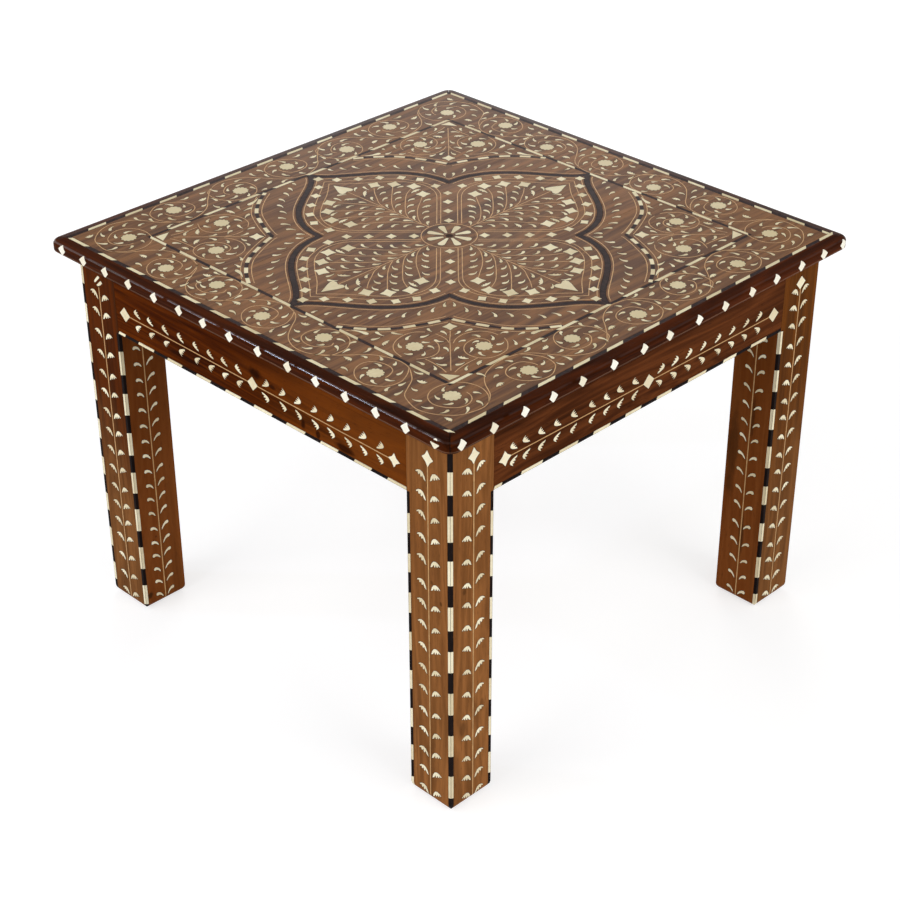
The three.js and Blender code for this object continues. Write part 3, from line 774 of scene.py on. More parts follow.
def border_side(inlay, quarter):
    """The vine along one side of the border and round the corner at its right end."""
    leaf_width, radius = inlay.sizes.leaf / MM, inlay.sizes.flower / MM

    def motif(middle, leaves, teeth, spiral):
        def at(p):
            return p[0] + middle[0], p[1] + middle[1]
        inlay.piece(turned(flower(*middle, radius), quarter), aged=FLOWER_AGED)
        for tail, head, bend in leaves:
            inlay.piece(turned(comma(at(tail), at(head), bend, leaf_width), quarter))
        for tail, head, side in teeth:
            inlay.piece(turned(serrated(at(tail), at(head), side), quarter))
        inlay.line(turned(smooth([at(p) for p in spiral]), quarter))

    a1, b1, a2, b2, a3 = FLOWER_PLACES[quarter]
    for x in (a1, a2, a3):
        motif((x, FLOWER_A_LINE), FLOWER_A_LEAVES, FLOWER_A_SERRATED, FLOWER_A_SPIRAL)
    for x in (b1, b2):
        motif((x, FLOWER_B_LINE), FLOWER_B_LEAVES, [], FLOWER_B_SPIRAL)
    motif(CORNER, CORNER_LEAVES, CORNER_SERRATED, CORNER_SPIRAL)
    wave = []
    for start, end, shape in ((a1, b1, WAVE_DOWN), (b1, a2, WAVE_UP), (a2, b2, WAVE_DOWN), (b2, a3, WAVE_UP)):
        y0, y1 = (WAVE_TOP, WAVE_LOW) if shape is WAVE_DOWN else (WAVE_LOW, WAVE_TOP)
        wave += [(between(start, end, u), between(y0, y1, v)) for u, v in shape]
    wave += [(a3, WAVE_TOP), (between(a3, CORNER[0] + CORNER_WAVE[0][0], DIP_AT), WAVE_TOP - DIP)]
    wave += [(x + CORNER[0], y + CORNER[1]) for x, y in CORNER_WAVE]
    wave.append((-WAVE_TOP, FLOWER_PLACES[(quarter + 1) % 4][0]))
    inlay.line(turned(smooth(wave), quarter))


# The corners of the field outside the ogee, drawn nine to the millimetre from their inner corner

SPANDREL_SCALE, SPANDREL_CORNER = 9, (80.5, -92)
SPANDREL_LEAVES = [
    ((750, 455), (755, 372), 0.1), ((712, 555), (705, 475), -0.15), ((682, 610), (588, 592), -0.15),
    ((545, 652), (468, 638), 0.15), ((555, 700), (542, 795), 0.1), ((460, 830), (490, 915), -0.15),
    ((392, 862), (300, 912), 0.1), ((300, 1000), (190, 1000), 0.08), ((295, 1045), (265, 1128), 0.1),
    ((480, 1002), (562, 1048), -0.15), ((640, 1100), (705, 1058), -0.2), ((750, 952), (785, 1022), 0.18),
    ((785, 865), (700, 862), -0.2), ((665, 790), (608, 845), 0.15), ((740, 705), (660, 742), 0.2),
    ((900, 815), (815, 790), -0.18), ((965, 1022), (1050, 985), -0.2), ((830, 1125), (912, 1125), 0.12),
    ((978, 1078), (1045, 1122), 0.15), ((1040, 697), (985, 620), -0.12), ((1185, 635), (1095, 628), 0.2),
    ((1215, 468), (1168, 537), 0.2), ((1115, 342), (1105, 427), 0.2), ((940, 342), (1022, 392), 0.2),
    ((832, 462), (908, 430), 0.25), ((838, 632), (862, 560), 0.2), ((930, 772), (908, 690), 0.1),
    ((1130, 848), (1105, 932), 0.15), ((1195, 858), (1242, 936), -0.15), ((988, 258), (1022, 190), 0.2),
    ((1118, 170), (1125, 88), 0.1), ((1203, 165), (1250, 165), 0.1), ((938, 562), (952, 488), 0.2),
    ((1140, 268), (1228, 312), 0.15)]
SPANDREL_SERRATED = [
    ((388, 1018), (408, 1122), -1), ((868, 1002), (942, 925), -1), ((1112, 768), (1025, 812), 1),
    ((1212, 706), (1232, 790), -1)]
SPANDREL_LINES = [
    [(640, 530), (700, 590), (760, 655), (830, 720), (900, 790), (1000, 885), (1080, 965), (1150, 1032)],
    [(820, 672), (785, 610), (768, 540), (770, 470), (800, 390), (860, 325), (930, 295), (990, 287)],
    [(1068, 290), (1130, 318), (1190, 372), (1235, 435), (1250, 520), (1243, 590), (1215, 655), (1150, 708),
     (1060, 727), (975, 695), (915, 625), (893, 545), (905, 475), (945, 435), (1000, 422), (1045, 440)],
    [(785, 692), (740, 668), (670, 656), (590, 660)],
    [(500, 700), (440, 760), (412, 830), (410, 905), (432, 990), (485, 1075), (570, 1135), (675, 1158)],
    [(680, 757), (745, 780), (815, 840), (850, 900), (855, 970), (830, 1040), (795, 1100)],
    [(1193, 1027), (1172, 960), (1158, 850), (1155, 700)],
    [(1142, 1080), (1070, 1060), (960, 1045), (850, 1042)]]
SPANDREL_FLOWERS = [(1045, 520), (625, 950)]
SPANDREL_SQUARE, SPANDREL_SQUARE_SIZE, SPANDREL_WAIST, SPANDREL_TOOTHED_WIDTH = (585, 475), 11.4, 0.16, 5.4
SPANDREL_TRIANGLE = [(1262, 1035), (1262, 1155), (1118, 1148)]
# Long leaves beside the ends of the ogee: tail, head, bend and width
LONG_LEAF = ((81, -218.1), (99.4, -212), 0.08, 5.0)
# The row of commas inside the ogee: their bend, and the tail and head of each
ROW_BEND = -0.15
ROW_OF_COMMAS = [
    ((106.1, -110.9), (112.2, -118.1)), ((105.5, -126.4), (111.6, -135.3)),
    ((101.1, -139.8), (107.2, -149.2)), ((94.4, -153.7), (98.8, -163.1)), ((85.5, -164.2), (86.6, -174.8)),
    ((77.2, -178.5), (77.5, -189)), ((66.5, -189), (65.5, -199.5)), ((53.5, -197), (52, -207.5)),
    ((41, -205), (39.5, -214)), ((28.5, -213), (27.5, -220.5))]


def spandrel(inlay, quarter):
    """The scrolls in one corner of the field, and the commas inside the ogee beside them."""
    leaf_width = inlay.sizes.leaf / MM

    def at(p):
        return SPANDREL_CORNER[0] + p[0] / SPANDREL_SCALE, SPANDREL_CORNER[1] - p[1] / SPANDREL_SCALE

    shapes = [
        square(*at(SPANDREL_SQUARE), SPANDREL_SQUARE_SIZE, 0, SPANDREL_WAIST),
        [at(p) for p in SPANDREL_TRIANGLE]]
    for p in SPANDREL_FLOWERS:
        inlay.piece(turned(flower(*at(p), inlay.sizes.flower / MM), quarter), aged=FLOWER_AGED)
    shapes += [comma(at(tail), at(head), bend, leaf_width) for tail, head, bend in SPANDREL_LEAVES]
    shapes += [serrated(at(tail), at(head), side, SPANDREL_TOOTHED_WIDTH)
               for tail, head, side in SPANDREL_SERRATED]
    long_leaf = comma(*LONG_LEAF)
    shapes += [long_leaf, across_diagonal(long_leaf)]
    for tail, head in ROW_OF_COMMAS:
        leaf = comma(tail, head, ROW_BEND, leaf_width)
        shapes += [leaf, across_diagonal(leaf)]
    for shape in shapes:
        inlay.piece(turned(shape, quarter))
    for line in SPANDREL_LINES:
        inlay.line(turned(smooth([at(p) for p in line]), quarter))


# The petals about the centre, drawn six and a half to the millimetre: the right half of the one on the -Y side

PETAL_SCALE, PETAL_TIP = 6.5, (528, 16)
PETAL_LEAVES = [
    ((585, 205), (652, 218), -0.2), ((640, 275), (712, 278), -0.22), ((785, 415), (858, 412), -0.22),
    ((575, 345), (645, 360), -0.2), ((640, 430), (710, 432), -0.22), ((715, 502), (785, 500), -0.22),
    ((582, 490), (652, 508), -0.2), ((662, 580), (732, 586), -0.22), ((725, 652), (795, 655), -0.22),
    ((815, 722), (878, 715), -0.15), ((590, 630), (662, 652), -0.2), ((650, 725), (720, 732), -0.2),
    ((705, 800), (775, 808), -0.2), ((662, 845), (672, 920), -0.1),
    ((545, 115), (590, 158), -0.15), ((543, 235), (582, 295), -0.15), ((543, 382), (580, 435), -0.15),
    ((550, 518), (582, 572), -0.15), ((560, 688), (592, 742), -0.15), ((568, 895), (626, 938), -0.15)]
PETAL_SERRATED = [((712, 352), (780, 345), -1), ((832, 590), (915, 592), -1), ((558, 785), (625, 845), -1)]
PETAL_SQUARE_SIZE, PETAL_WAIST, PETAL_TOOTHED_WIDTH = 12.2, 0.13, 5.0
PETAL_SQUARES = [((883, 517), -8), ((930, 662), 4), ((855, 790), 14), ((745, 885), 22)]
PETAL_BRANCHES = [
    [(527, 160), (560, 230), (625, 310), (700, 380), (790, 445), (850, 490)],
    [(530, 300), (570, 370), (640, 450), (720, 530), (800, 600), (885, 645)],
    [(532, 440), (575, 510), (640, 590), (720, 670), (820, 765)],
    [(534, 560), (555, 630), (600, 700), (650, 775), (705, 842)]]
HEART = [
    (0, -160.5), (4.5, -158), (8.2, -158.6), (9.4, -162), (7.4, -168), (3.4, -176), (0, -183.5),
    (-3.4, -176), (-7.4, -168), (-9.4, -162), (-8.2, -158.6), (-4.5, -158)]
STEM_OF_PETAL = [(0, -30), (0, -159)]
PETAL_OUTER_EDGE = [
    (15, -28), (38, -51), (60, -73), (70, -84), (76, -97), (77.5, -110), (74, -124), (65.8, -142),
    (50.5, -157.5), (30.5, -173.5), (15, -185.5), (0, -198)]
PETAL_INNER_EDGE = [
    (12, -31), (34, -53), (54, -73), (64.5, -84.5), (70.5, -96), (72.3, -109), (70, -121), (61, -137),
    (43, -153.5), (20, -171), (0, -190)]
# Squares in the channel between petals and ogee: x, y and tilt. One more is alone on the middle line
CHANNEL_SQUARES = [
    (14, -192, -5), (32, -176.5, -5), (51.5, -162, -12), (69, -145, -25), (80, -126, -35), (80, -101, -10)]
CHANNEL_TOP = (0, -208)
LANE_SQUARES = [(27, -26), (44.5, -43), (61.5, -60), (78, -76)]
CHANNEL_SIZE, CHANNEL_WAIST, LANE_SIZE, LANE_WAIST = 8.8, 0.08, 8.5, 0.1


def petal(inlay, quarter):
    """One great petal, the squares round it and those in the lane beside it."""
    leaf_width = inlay.sizes.leaf / MM

    def at(p):
        return (p[0] - PETAL_TIP[0]) / PETAL_SCALE, -(PETAL_TIP[1] * PETAL_SCALE + p[1]) / PETAL_SCALE

    half = [square(*at(p), PETAL_SQUARE_SIZE, tilt, PETAL_WAIST) for p, tilt in PETAL_SQUARES]
    half += [comma(at(tail), at(head), bend, leaf_width) for tail, head, bend in PETAL_LEAVES]
    half += [serrated(at(tail), at(head), side, PETAL_TOOTHED_WIDTH) for tail, head, side in PETAL_SERRATED]
    half += [square(x, y, CHANNEL_SIZE, tilt, CHANNEL_WAIST) for x, y, tilt in CHANNEL_SQUARES]
    lines = [smooth([at(p) for p in branch]) for branch in PETAL_BRANCHES]
    lines += [smooth(PETAL_OUTER_EDGE), smooth(PETAL_INNER_EDGE)]
    for flip in (list, mirrored):
        for shape in half:
            inlay.piece(turned(flip(shape), quarter))
        for line in lines:
            inlay.line(turned(flip(line), quarter))
    inlay.piece(turned(HEART, quarter))
    inlay.piece(turned(square(*CHANNEL_TOP, CHANNEL_SIZE, 0, CHANNEL_WAIST), quarter))
    inlay.line(turned(STEM_OF_PETAL, quarter))
    for x, y in LANE_SQUARES:
        inlay.piece(turned(square(x, y, LANE_SIZE, 0, LANE_WAIST), quarter))


# The flower at the centre: half of a petal's outline, the golden ring round it and its dark eye

SMALL_PETAL = [(7, -1.4), (12, -2.2), (18, -3.4), (22.5, -4.0), (24.8, -2.6)]
SMALL_PETAL_TIP, SMALL_PETAL_ROOT = (25.4, 0), (6.4, 0)
RING_RADIUS, EYE_RADIUS = 30, 4.2


def centre_flower(inlay):
    """Eight bone petals in a golden ring."""
    other_half = [(x, -y) for x, y in SMALL_PETAL[::-1]]
    petal_shape = SMALL_PETAL + [SMALL_PETAL_TIP] + other_half + [SMALL_PETAL_ROOT]
    for k in range(8):
        a = math.radians(22.5 + 45 * k)
        inlay.piece([(x * math.cos(a) - y * math.sin(a), x * math.sin(a) + y * math.cos(a))
                     for x, y in petal_shape])
    inlay.line(circle(RING_RADIUS))
    s = inlay.sizes
    inlay.dark.plate(circle(EYE_RADIUS, 20)[:-1], on_top, s.mastic_proud / MM, -s.sink / MM)


# The bands: bone dashes in the ebony, and the chequered band inside the cusps

OUTER_DASHES = [
    (-233, -185, -140, -95, -49.5, -2.5, 46.5, 94, 140, 187, 231.5),
    (-265.5, -219, -172.5, -123.5, -75.5, -21, 28, 75.5, 122.5, 172, 217.5, 264.5),
    (-251, -207, -162, -114, -63, -18, 28, 76.6, 122, 168.6, 215, 261),
    (-235, -188, -141, -94, -47.6, -2, 45.6, 91.4, 138.6, 186, 235.6)]
FIRST_OUTER_DASHES = [(-285, -256.5), None, (-286, -274), (-285, -259)]
LAST_OUTER_DASHES = [(279.5, 286), None, None, None]
# How far the dashes slant on each side, and the slant at the left of any that starts past the end of the row
DASH_SLANT, ROW_END, END_SLANT = [4.6, 4.8, -3, 3], -280, 3
# Lengths of the dashes, and the even row of the inner band: its step, start, slant and number
OUTER_DASH, INNER_DASH, INNER_PERIOD, INNER_FIRST, INNER_SLANT, INNER_COUNT = 23.5, 26.5, 49.5, -222.5, -3, 9
CHEQUER_PATH = [(66, -223), (88, -208), (108, -188), (122, -162), (131, -140), (132.5, -132.5)]
# Bone in the chequered band, as distances from the cusp
CHEQUER_RIGHT = [(11, 23.7), (37, 49.6), (62.2, 74.8), (86, 98.4), (110, 116)]
CHEQUER_LEFT = [(3.5, 17.5), (29, 42.5), (55, 67.5), (79, 91.5), (103, 115)]
# How far the golden lines run from the middle of the chequered band and of the ogee
CHEQUER_LINE, OGEE_LINE = 5.7, 5.8
# The four points that half a lobe of the ogee is drawn with, as shares of half the field
OGEE_SHARES = [(0, 1), (0.054, 0.84), (0.442, 0.781), (0.4375, 0.4375)]


def ogee_path(steps=40):
    """Half of the thick ebony band's middle line, from the lobe's point to the cusp on the diagonal."""
    path = []
    for i in range(steps + 1):
        t = i / steps
        weights = ((1 - t) ** 3, 3 * t * (1 - t) ** 2, 3 * t * t * (1 - t), t ** 3)
        path.append(tuple(
            sign * HALF_FIELD * sum(w * p[k] for w, p in zip(weights, OGEE_SHARES))
            for k, sign in ((0, 1), (1, -1))))
    return path


def inside_wedge(path, lowest=HALF_FIELD - 0.4):
    """The part of a line between the middle line, the diagonal and the inner band."""
    return [(x, y) for x, y in path if x >= -0.01 and -y >= x - 0.01 and -y <= lowest]


def dashes(inlay, band, starts, size, slant, quarter, odd=()):
    """A row of bone dashes of one size, and the odd ones at its ends."""
    low, high = band
    for start, end in [(s, s + size) for s in starts] + [dash for dash in odd if dash]:
        left_slant = END_SLANT if start < ROW_END else slant
        shape = [(start, low), (end, low), (end + slant, high), (start + left_slant, high)]
        inlay.piece(turned(shape, quarter), loose=False)


def bands_of_side(inlay, black, quarter):
    """The dashes of the two bands along one side, the chequered band in its cusps and their golden lines."""
    odd = (FIRST_OUTER_DASHES[quarter], LAST_OUTER_DASHES[quarter])
    dashes(inlay, OUTER_BAND, OUTER_DASHES[quarter], OUTER_DASH, DASH_SLANT[quarter], quarter, odd)
    inner = [INNER_FIRST + INNER_PERIOD * k for k in range(INNER_COUNT)]
    dashes(inlay, INNER_BAND, inner, INNER_DASH, INNER_SLANT, quarter)
    s = inlay.sizes
    chequered = smooth(CHEQUER_PATH)[::-1]
    for flip, bones in ((list, CHEQUER_RIGHT), (mirrored, CHEQUER_LEFT)):
        path = flip(chequered)
        black.ribbon(
            turned(path, quarter), s.chequer / MM, on_top, s.mastic_proud / MM, -s.sink / MM * MASTIC_DEPTH)
        for start, end in bones:
            part = stretch_of(path, start, end)
            if len(part) > 1:
                inlay.bone.ribbon(turned(part, quarter), s.chequer / MM, on_top, s.proud / MM, -s.sink / MM)
        for shift in (CHEQUER_LINE, -CHEQUER_LINE):
            inlay.line(turned(flip(inside_wedge(beside(chequered, shift))), quarter))
        for shift in (OGEE_LINE, -OGEE_LINE):
            inlay.line(turned(flip(inside_wedge(beside(ogee_path(), shift))), quarter))


# Plants on legs and aprons. Outlines are for the right of an upright stem: (out from the stem, up)

LOBED = [
    (0, 0), (1.2, 4.6), (3.6, 8.4), (6.8, 9.8), (10, 9), (13, 6.8), (12.3, 5.7), (10.1, 6.8), (9.7, 4.4),
    (8.5, 4.1), (7.2, 6.2), (6.6, 3), (5.3, 2.6), (4.4, 4.8), (2.6, 1.4)]
HOOKED = [
    (0, 0), (0.8, 3), (3, 6.2), (6, 8.4), (8.8, 9), (10.2, 7.6), (10.2, 5.6), (8.6, 4.4), (6.4, 4.8),
    (3.8, 3.6), (1.6, 1.2)]
APRON_LEAF = [
    (0, 0), (0.6, 3.4), (1.8, 6.9), (3.4, 9.6), (5.5, 10.6), (7.7, 9.3), (10, 5.8), (7, 7.1), (7.3, 3.8),
    (4.8, 5.9), (4.9, 2.3), (3, 3.7), (2.2, 0.9)]
# The two halves of the split diamond at the top of the left leg
SPLIT_DIAMOND = [
    [(-9, -2.6), (-7.5, 0.4), (0, 7.6), (3, 7.2), (3.2, 5.4), (-4.5, -1.4), (-7.2, -3.6)],
    [(-3.8, -5.2), (5.6, 3.2), (8.8, 0.4), (5, -3.6), (-1.6, -7.4), (-4.2, -6.6)]]


def sprig(inlay, place, root, way, leaves, stem, share=1.0):
    """A straight stem from the root, with leaves: (distance along it, side, outline, distance out).

    The way is 'up', 'left' or 'right' of the face, and the side is 1 for the right of the stem and -1 for its
    left.
    """
    def at(out, along):
        x, y = {"up": (out, along), "right": (along, -out), "left": (-along, out)}[way]
        return root[0] + x, root[1] + y
    inlay.line([at(0, along) for along in stem], place, inlay.sizes.stem * share)
    for along, side, shape, gap in leaves:
        inlay.piece([at(side * (gap + u), along + v) for u, v in shape], place)


# Each outer face of a leg: stem's distance from its left edge, diamond's height and kind, and heights of the
# leaves' roots on the left and on the right
FACE_OF_FRONT_LEG_LEFT = (
    28.4, 412.9, "waisted",
    (387, 365, 342.5, 317, 292, 263.5, 240, 215, 188, 161, 134.5, 107, 81.5, 55.5, 30.5, 5.5),
    (390, 366, 342, 318.5, 292.5, 265, 240, 214, 188.5, 162, 136, 108, 82.5, 57, 31.5, 6.5))
FACE_OF_FRONT_LEG_RIGHT = (
    31.4, 415.3, "waisted",
    (395.5, 371.5, 348.5, 321, 294, 266.5, 243.5, 216.5, 191.5, 162.5, 134.5, 106, 79, 52.5, 27, 3.5),
    (396, 371, 348, 323.5, 294.5, 268.5, 241.5, 215.5, 190.5, 163.5, 135, 107, 79, 51.5, 26.5, 3.5))
FACE_OF_LEFT_LEG = (
    29.8, 417.8, "split",
    (396, 374.5, 348.5, 323, 297.5, 273.5, 248.5, 223.5, 199.5, 175, 150, 127, 104, 82, 55.5, 30, 6),
    (395, 373.5, 348.5, 325.5, 298.5, 275.5, 248.5, 225.5, 201.5, 178, 151.5, 129.5, 106.5, 84, 57.5, 31.5,
     6.5))
FACE_OF_RIGHT_LEG = (
    28.4, 413.3, "plain",
    (399, 380, 358, 333, 310.5, 288.5, 264.5, 244, 219, 195.5, 173, 149, 124, 100, 74, 53.5, 28, 5.5),
    (399, 380, 358.5, 335, 311, 288.5, 265, 242, 219, 195, 173, 148, 123.5, 99, 73.5, 50.5, 26, 5))
# The outer faces of each leg, by the numbers of the sides they belong to, in the order of SIDES
LEG_FACES = {
    "front": {0: FACE_OF_FRONT_LEG_LEFT, 1: FACE_OF_FRONT_LEG_RIGHT},
    "right": {1: FACE_OF_RIGHT_LEG, 2: FACE_OF_LEFT_LEG},
    "back": {2: FACE_OF_FRONT_LEG_RIGHT, 3: FACE_OF_RIGHT_LEG},
    "left": {3: FACE_OF_FRONT_LEG_LEFT, 0: FACE_OF_LEFT_LEG},
}
# How far leaves stand from their stem, sizes of the diamonds, and how far under its diamond a stem ends
LEG_LEAF_GAP, INNER_LEAF_GAP, LEG_DIAMOND, SPLIT_SIZE, STEM_BELOW_DIAMOND = 2.7, 3.0, 11.5, 0.82, 7
# How far the sides of a waisted diamond draw in, and how much taller than wide it is
WAISTED = (0.16, 1.2)
# Height of a stem's foot, and how far under the aprons the inner faces' stems end
FOOT_OF_STEM, STEM_BELOW_APRON = 3, 8
# Heights of the leaves' roots on a leg's inner faces: the left leg's and the right leg's
INNER_ROOTS = (
    (341, 321, 301, 278, 256, 234, 213.5, 190.5, 169, 145, 124, 98, 74, 50.5, 28, 6.5),
    (334, 314, 294, 276, 256, 235.5, 216, 196.5, 176, 157, 139, 120, 98.5, 79.5, 61.5, 42.5, 25, 7))


def outer_leg_face(inlay, quarter, right_end, face):
    """The plant on one outer face of a leg. The leg stands at the right or the left end of that side."""
    stem_at, diamond, kind, left, right = face
    place = on_face(quarter, HALF_FRAME)
    x = stem_at + (HALF_OPENING if right_end else -HALF_FRAME)
    leaves = [(z, -1, LOBED, LEG_LEAF_GAP) for z in left] + [(z, 1, LOBED, LEG_LEAF_GAP) for z in right]
    sprig(inlay, place, (x, 0), "up", leaves, (FOOT_OF_STEM, diamond - STEM_BELOW_DIAMOND))
    if kind == "split":
        for half in SPLIT_DIAMOND:
            inlay.piece([(x + u * SPLIT_SIZE, diamond + v * SPLIT_SIZE) for u, v in half], place)
    else:
        waist, stretch = WAISTED if kind == "waisted" else (0.0, 1.0)
        inlay.piece([(x + u, diamond + v * stretch) for u, v in square(0, 0, LEG_DIAMOND, 45, waist)], place)


def inner_leg_face(inlay, quarter, right_end, roots):
    """The plainer plant on the faces that look into the opening under the aprons."""
    place = on_face(quarter, -HALF_OPENING)
    middle = (HALF_OPENING + HALF_FRAME) / 2 * (1 if right_end else -1)
    leaves = [(z, side, HOOKED, INNER_LEAF_GAP) for z in roots for side in (-1, 1)]
    sprig(inlay, place, (middle, 0), "up", leaves, (FOOT_OF_STEM, APRON_BOTTOM - STEM_BELOW_APRON))


# Height of the stem over an apron's bottom, and its fall for each millimetre to the right
APRON_STEM, APRON_STEM_FALL = 27.1, 0.006
# The two aprons in the photograph's view: their diamonds, each with its waist, and the roots of the leaves
# above and below the stem, first on its left half and then on its right, as distances along the side
APRON_PLANTS = [
    (((-207, 0), (0.9, 0), (205.5, 0.22)),
     (-180, -158, -132.5, -107.5, -82.5, -59.5, -37.5, -15),
     (-179.5, -156.5, -131.5, -106.5, -81, -58.5, -36.5, -13.5),
     (16.3, 40.5, 64, 87.5, 111, 134.5, 157, 181),
     (15, 41.5, 64.5, 89, 112, 136.5, 158, 180.5)),
    (((-207, 0.16), (1.3, 0), (205.5, 0)),
     (-189.5, -172.5, -151, -128.5, -104.5, -78, -56.5, -36.5, -14),
     (-189.5, -172, -150.5, -129, -105, -78.5, -56.5, -36, -14),
     (15, 37, 58.5, 81.5, 106, 129, 152.5, 174.5),
     (12.5, 35, 58, 80.5, 106.5, 129, 151, 173))]
# How far leaves over and under the stem stand from it, the stem's width beside the legs' own, the diamonds'
# size, and the gap between a diamond's middle and the stem
UPPER_GAP, LOWER_GAP, APRON_STEM_SHARE, APRON_DIAMOND, DIAMOND_GAP = 3.8, 3.2, 0.8, 11.8, 6.5


def apron_face(inlay, quarter):
    """The plant along one apron. It falls a little towards the right, as the photographed one does."""
    diamonds, upper_left, lower_left, upper_right, lower_right = APRON_PLANTS[quarter % 2]
    face = on_face(quarter, HALF_FRAME)
    z = APRON_BOTTOM + APRON_STEM

    def place(u, v, out):
        return face(u, v - u * APRON_STEM_FALL, out)

    left, middle, right = (x for x, waist in diamonds)
    for way, upper, lower, stem in (
            ("left", upper_left, lower_left, (middle, left)),
            ("right", upper_right, lower_right, (middle, right))):
        sign = -1 if way == "left" else 1
        leaves = [(sign * x, -sign, APRON_LEAF, UPPER_GAP) for x in upper]
        leaves += [(sign * x, sign, APRON_LEAF, LOWER_GAP) for x in lower]
        ends = (sign * stem[0] + DIAMOND_GAP, sign * stem[1] - DIAMOND_GAP)
        sprig(inlay, place, (0, z), way, leaves, ends, APRON_STEM_SHARE)
    for x, waist in diamonds:
        inlay.piece(square(x, z, APRON_DIAMOND, 45, waist), place)


# Bone bars in the ebony strips: how far an end slants, and where each bar begins and ends. First along the
# aprons' lower arrises, by turns, then down the legs' outermost arrises, and down the two beside the aprons

APRON_BARS = [
    (0.6, (
        (-222, -211), (-188, -162), (-139, -115), (-91.5, -68.5), (-44.5, -21), (0, 27.5), (49.5, 77),
        (100, 125), (148.5, 172.5), (195, 222))),
    (0.4, (
        (-222, -211.5), (-184.5, -155), (-131, -104), (-81, -56.5), (-33, -9.5), (15.5, 38), (65, 94),
        (122.5, 144), (169, 195)))]
FRONT_CORNER_BARS = (0.4, (
    (410.8, 385.7), (362.5, 333.4), (311.7, 283.5), (258.4, 230.4), (205.3, 179.6), (154, 127), (100.5, 73.7),
    (47.8, 19)))
LEFT_CORNER_BARS = (0.3, (
    (431, 406.7), (382.5, 359.7), (334.7, 309.7), (287, 261.7), (237, 211.7), (187, 163.7), (138.3, 115),
    (91, 65.5), (42, 18)))
CORNER_BARS = {"front": FRONT_CORNER_BARS, "back": FRONT_CORNER_BARS, "left": LEFT_CORNER_BARS}
USUAL_BARS = (-0.4, (
    (342.5, 314), (292, 266.7), (241.7, 215.8), (193.3, 165.8), (142, 115), (93.3, 69.2), (46.7, 19.2)))
FIRST_SIDE_BARS = {"right": (0.3, (
    (365.2, 337.5), (317.3, 290.7), (268.3, 242.5), (220.5, 192.5), (168, 143.7), (118.3, 93.7), (71.7, 43.3),
    (20, 3)))}
SECOND_SIDE_BARS = {
    "front": (-0.4, (
        (340, 317.5), (293.3, 271.7), (247.5, 223.3), (200, 177.5), (152.5, 129.2), (104.2, 80), (56.7, 36.7),
        (14.2, 3))),
    "left": (0.4, (
        (343.3, 314.5), (290.8, 263.7), (240.8, 212), (189.2, 161.7), (140.3, 110.8), (88.3, 58.3),
        (35, 8.3)))}
# How low a bar down a leg may end, and how much of a bar's outer corner is rubbed off
LOWEST_BAR_END, RUBBED_CORNER = 2.0, 0.35


def corner_section(grow):
    """A square bar with its outer corner rubbed off. The outer corner is at the origin."""
    low, rubbed = -STRIP, grow - RUBBED_CORNER
    return [(low, low), (grow, low), (grow, rubbed), (rubbed, grow), (low, grow)]


# The edge moulding's diamonds, wrapped over its arris

MOULDING_DIAMONDS = [
    (-279, -242, -204.5, -165, -122.8, -82.5, -44.5, -4, 38.8, 82.5, 122.5, 163.8, 205, 244.5, 282.5),
    (-286.5, -245, -203.8, -165.3, -124.5, -79.5, -35.3, 3.3, 48.8, 90, 133.8, 174.3, 216.8, 255.5, 290)]
# Their width and height, how far up the moulding they start, the width of a blunt tip and how they may lean
DIAMOND_WIDTH, DIAMOND_HEIGHT, DIAMOND_FOOT, BLUNT_TIP, DIAMOND_TILT = 11.8, 11.8, 2.2, 0.9, (-0.1, 0.12)
# Points across a diamond, and steps up it
DIAMOND_COLUMNS, DIAMOND_ROWS = 5, 16
# Rounding of the moulding's arris, foot and corners, and how far its upper face falls
ARRIS_RADIUS, BASE_RADIUS, SLOPE_DROP, CORNER_RADIUS = 4.5, 2.3, 1.8, 12
# Steps round each curve of the section, and how far it is followed over the upper face
ARC_STEPS, SLOPE_REACH = 8, 6
# The diamond next to the front corner is chipped: only its lower half and a splinter of its tip are left
CHIPPED, CHIPPED_PARTS = (0, 14), ((-1, 0.08), (0.62, 0.9))


def moulding_section():
    """The outside of the moulding from its foot up over the arris: where it is and the outward way there."""
    top = TOP_LEVEL - SLOPE_DROP
    width = HALF_TOP + MOULDING_INSIDE
    slope = math.atan2(SLOPE_DROP, width - ARRIS_RADIUS)
    line = []
    for middle, radius, low, high in (
            (MOULDING_BASE + BASE_RADIUS, BASE_RADIUS, -math.pi / 2, 0),
            (top - ARRIS_RADIUS, ARRIS_RADIUS, 0, math.pi / 2 - slope)):
        for k in range(ARC_STEPS + 1):
            a = between(low, high, k / ARC_STEPS)
            nx, nz = math.cos(a), math.sin(a)
            line.append((HALF_TOP - radius + radius * nx, middle + radius * nz, nx, nz))
    x, z, nx, nz = line[-1]
    line.append((x - SLOPE_REACH * math.cos(slope), z + SLOPE_REACH * math.sin(slope), nx, nz))
    return line


def along_section(section, distance):
    """The point of the moulding's section at a distance from its foot, with the outward way there."""
    run = 0.0
    for a, b in zip(section, section[1:]):
        step = math.dist(a[:2], b[:2])
        if distance <= run + step or b is section[-1]:
            t = (distance - run) / step
            return tuple(between(p, q, t) for p, q in zip(a, b))
        run += step


def round_corner(quarter):
    """Where a point of one side's moulding is: (along the side, out, height), bent round the corners."""
    def place(u, out, z):
        straight = HALF_TOP - CORNER_RADIUS
        past = abs(u) - straight
        if past > 0:
            radius = out - straight
            u = math.copysign(straight + radius * math.sin(past / CORNER_RADIUS), u)
            out = straight + radius * math.cos(past / CORNER_RADIUS)
        (x, y), = turned([(u, -out)], quarter)
        return x, y, z
    return place


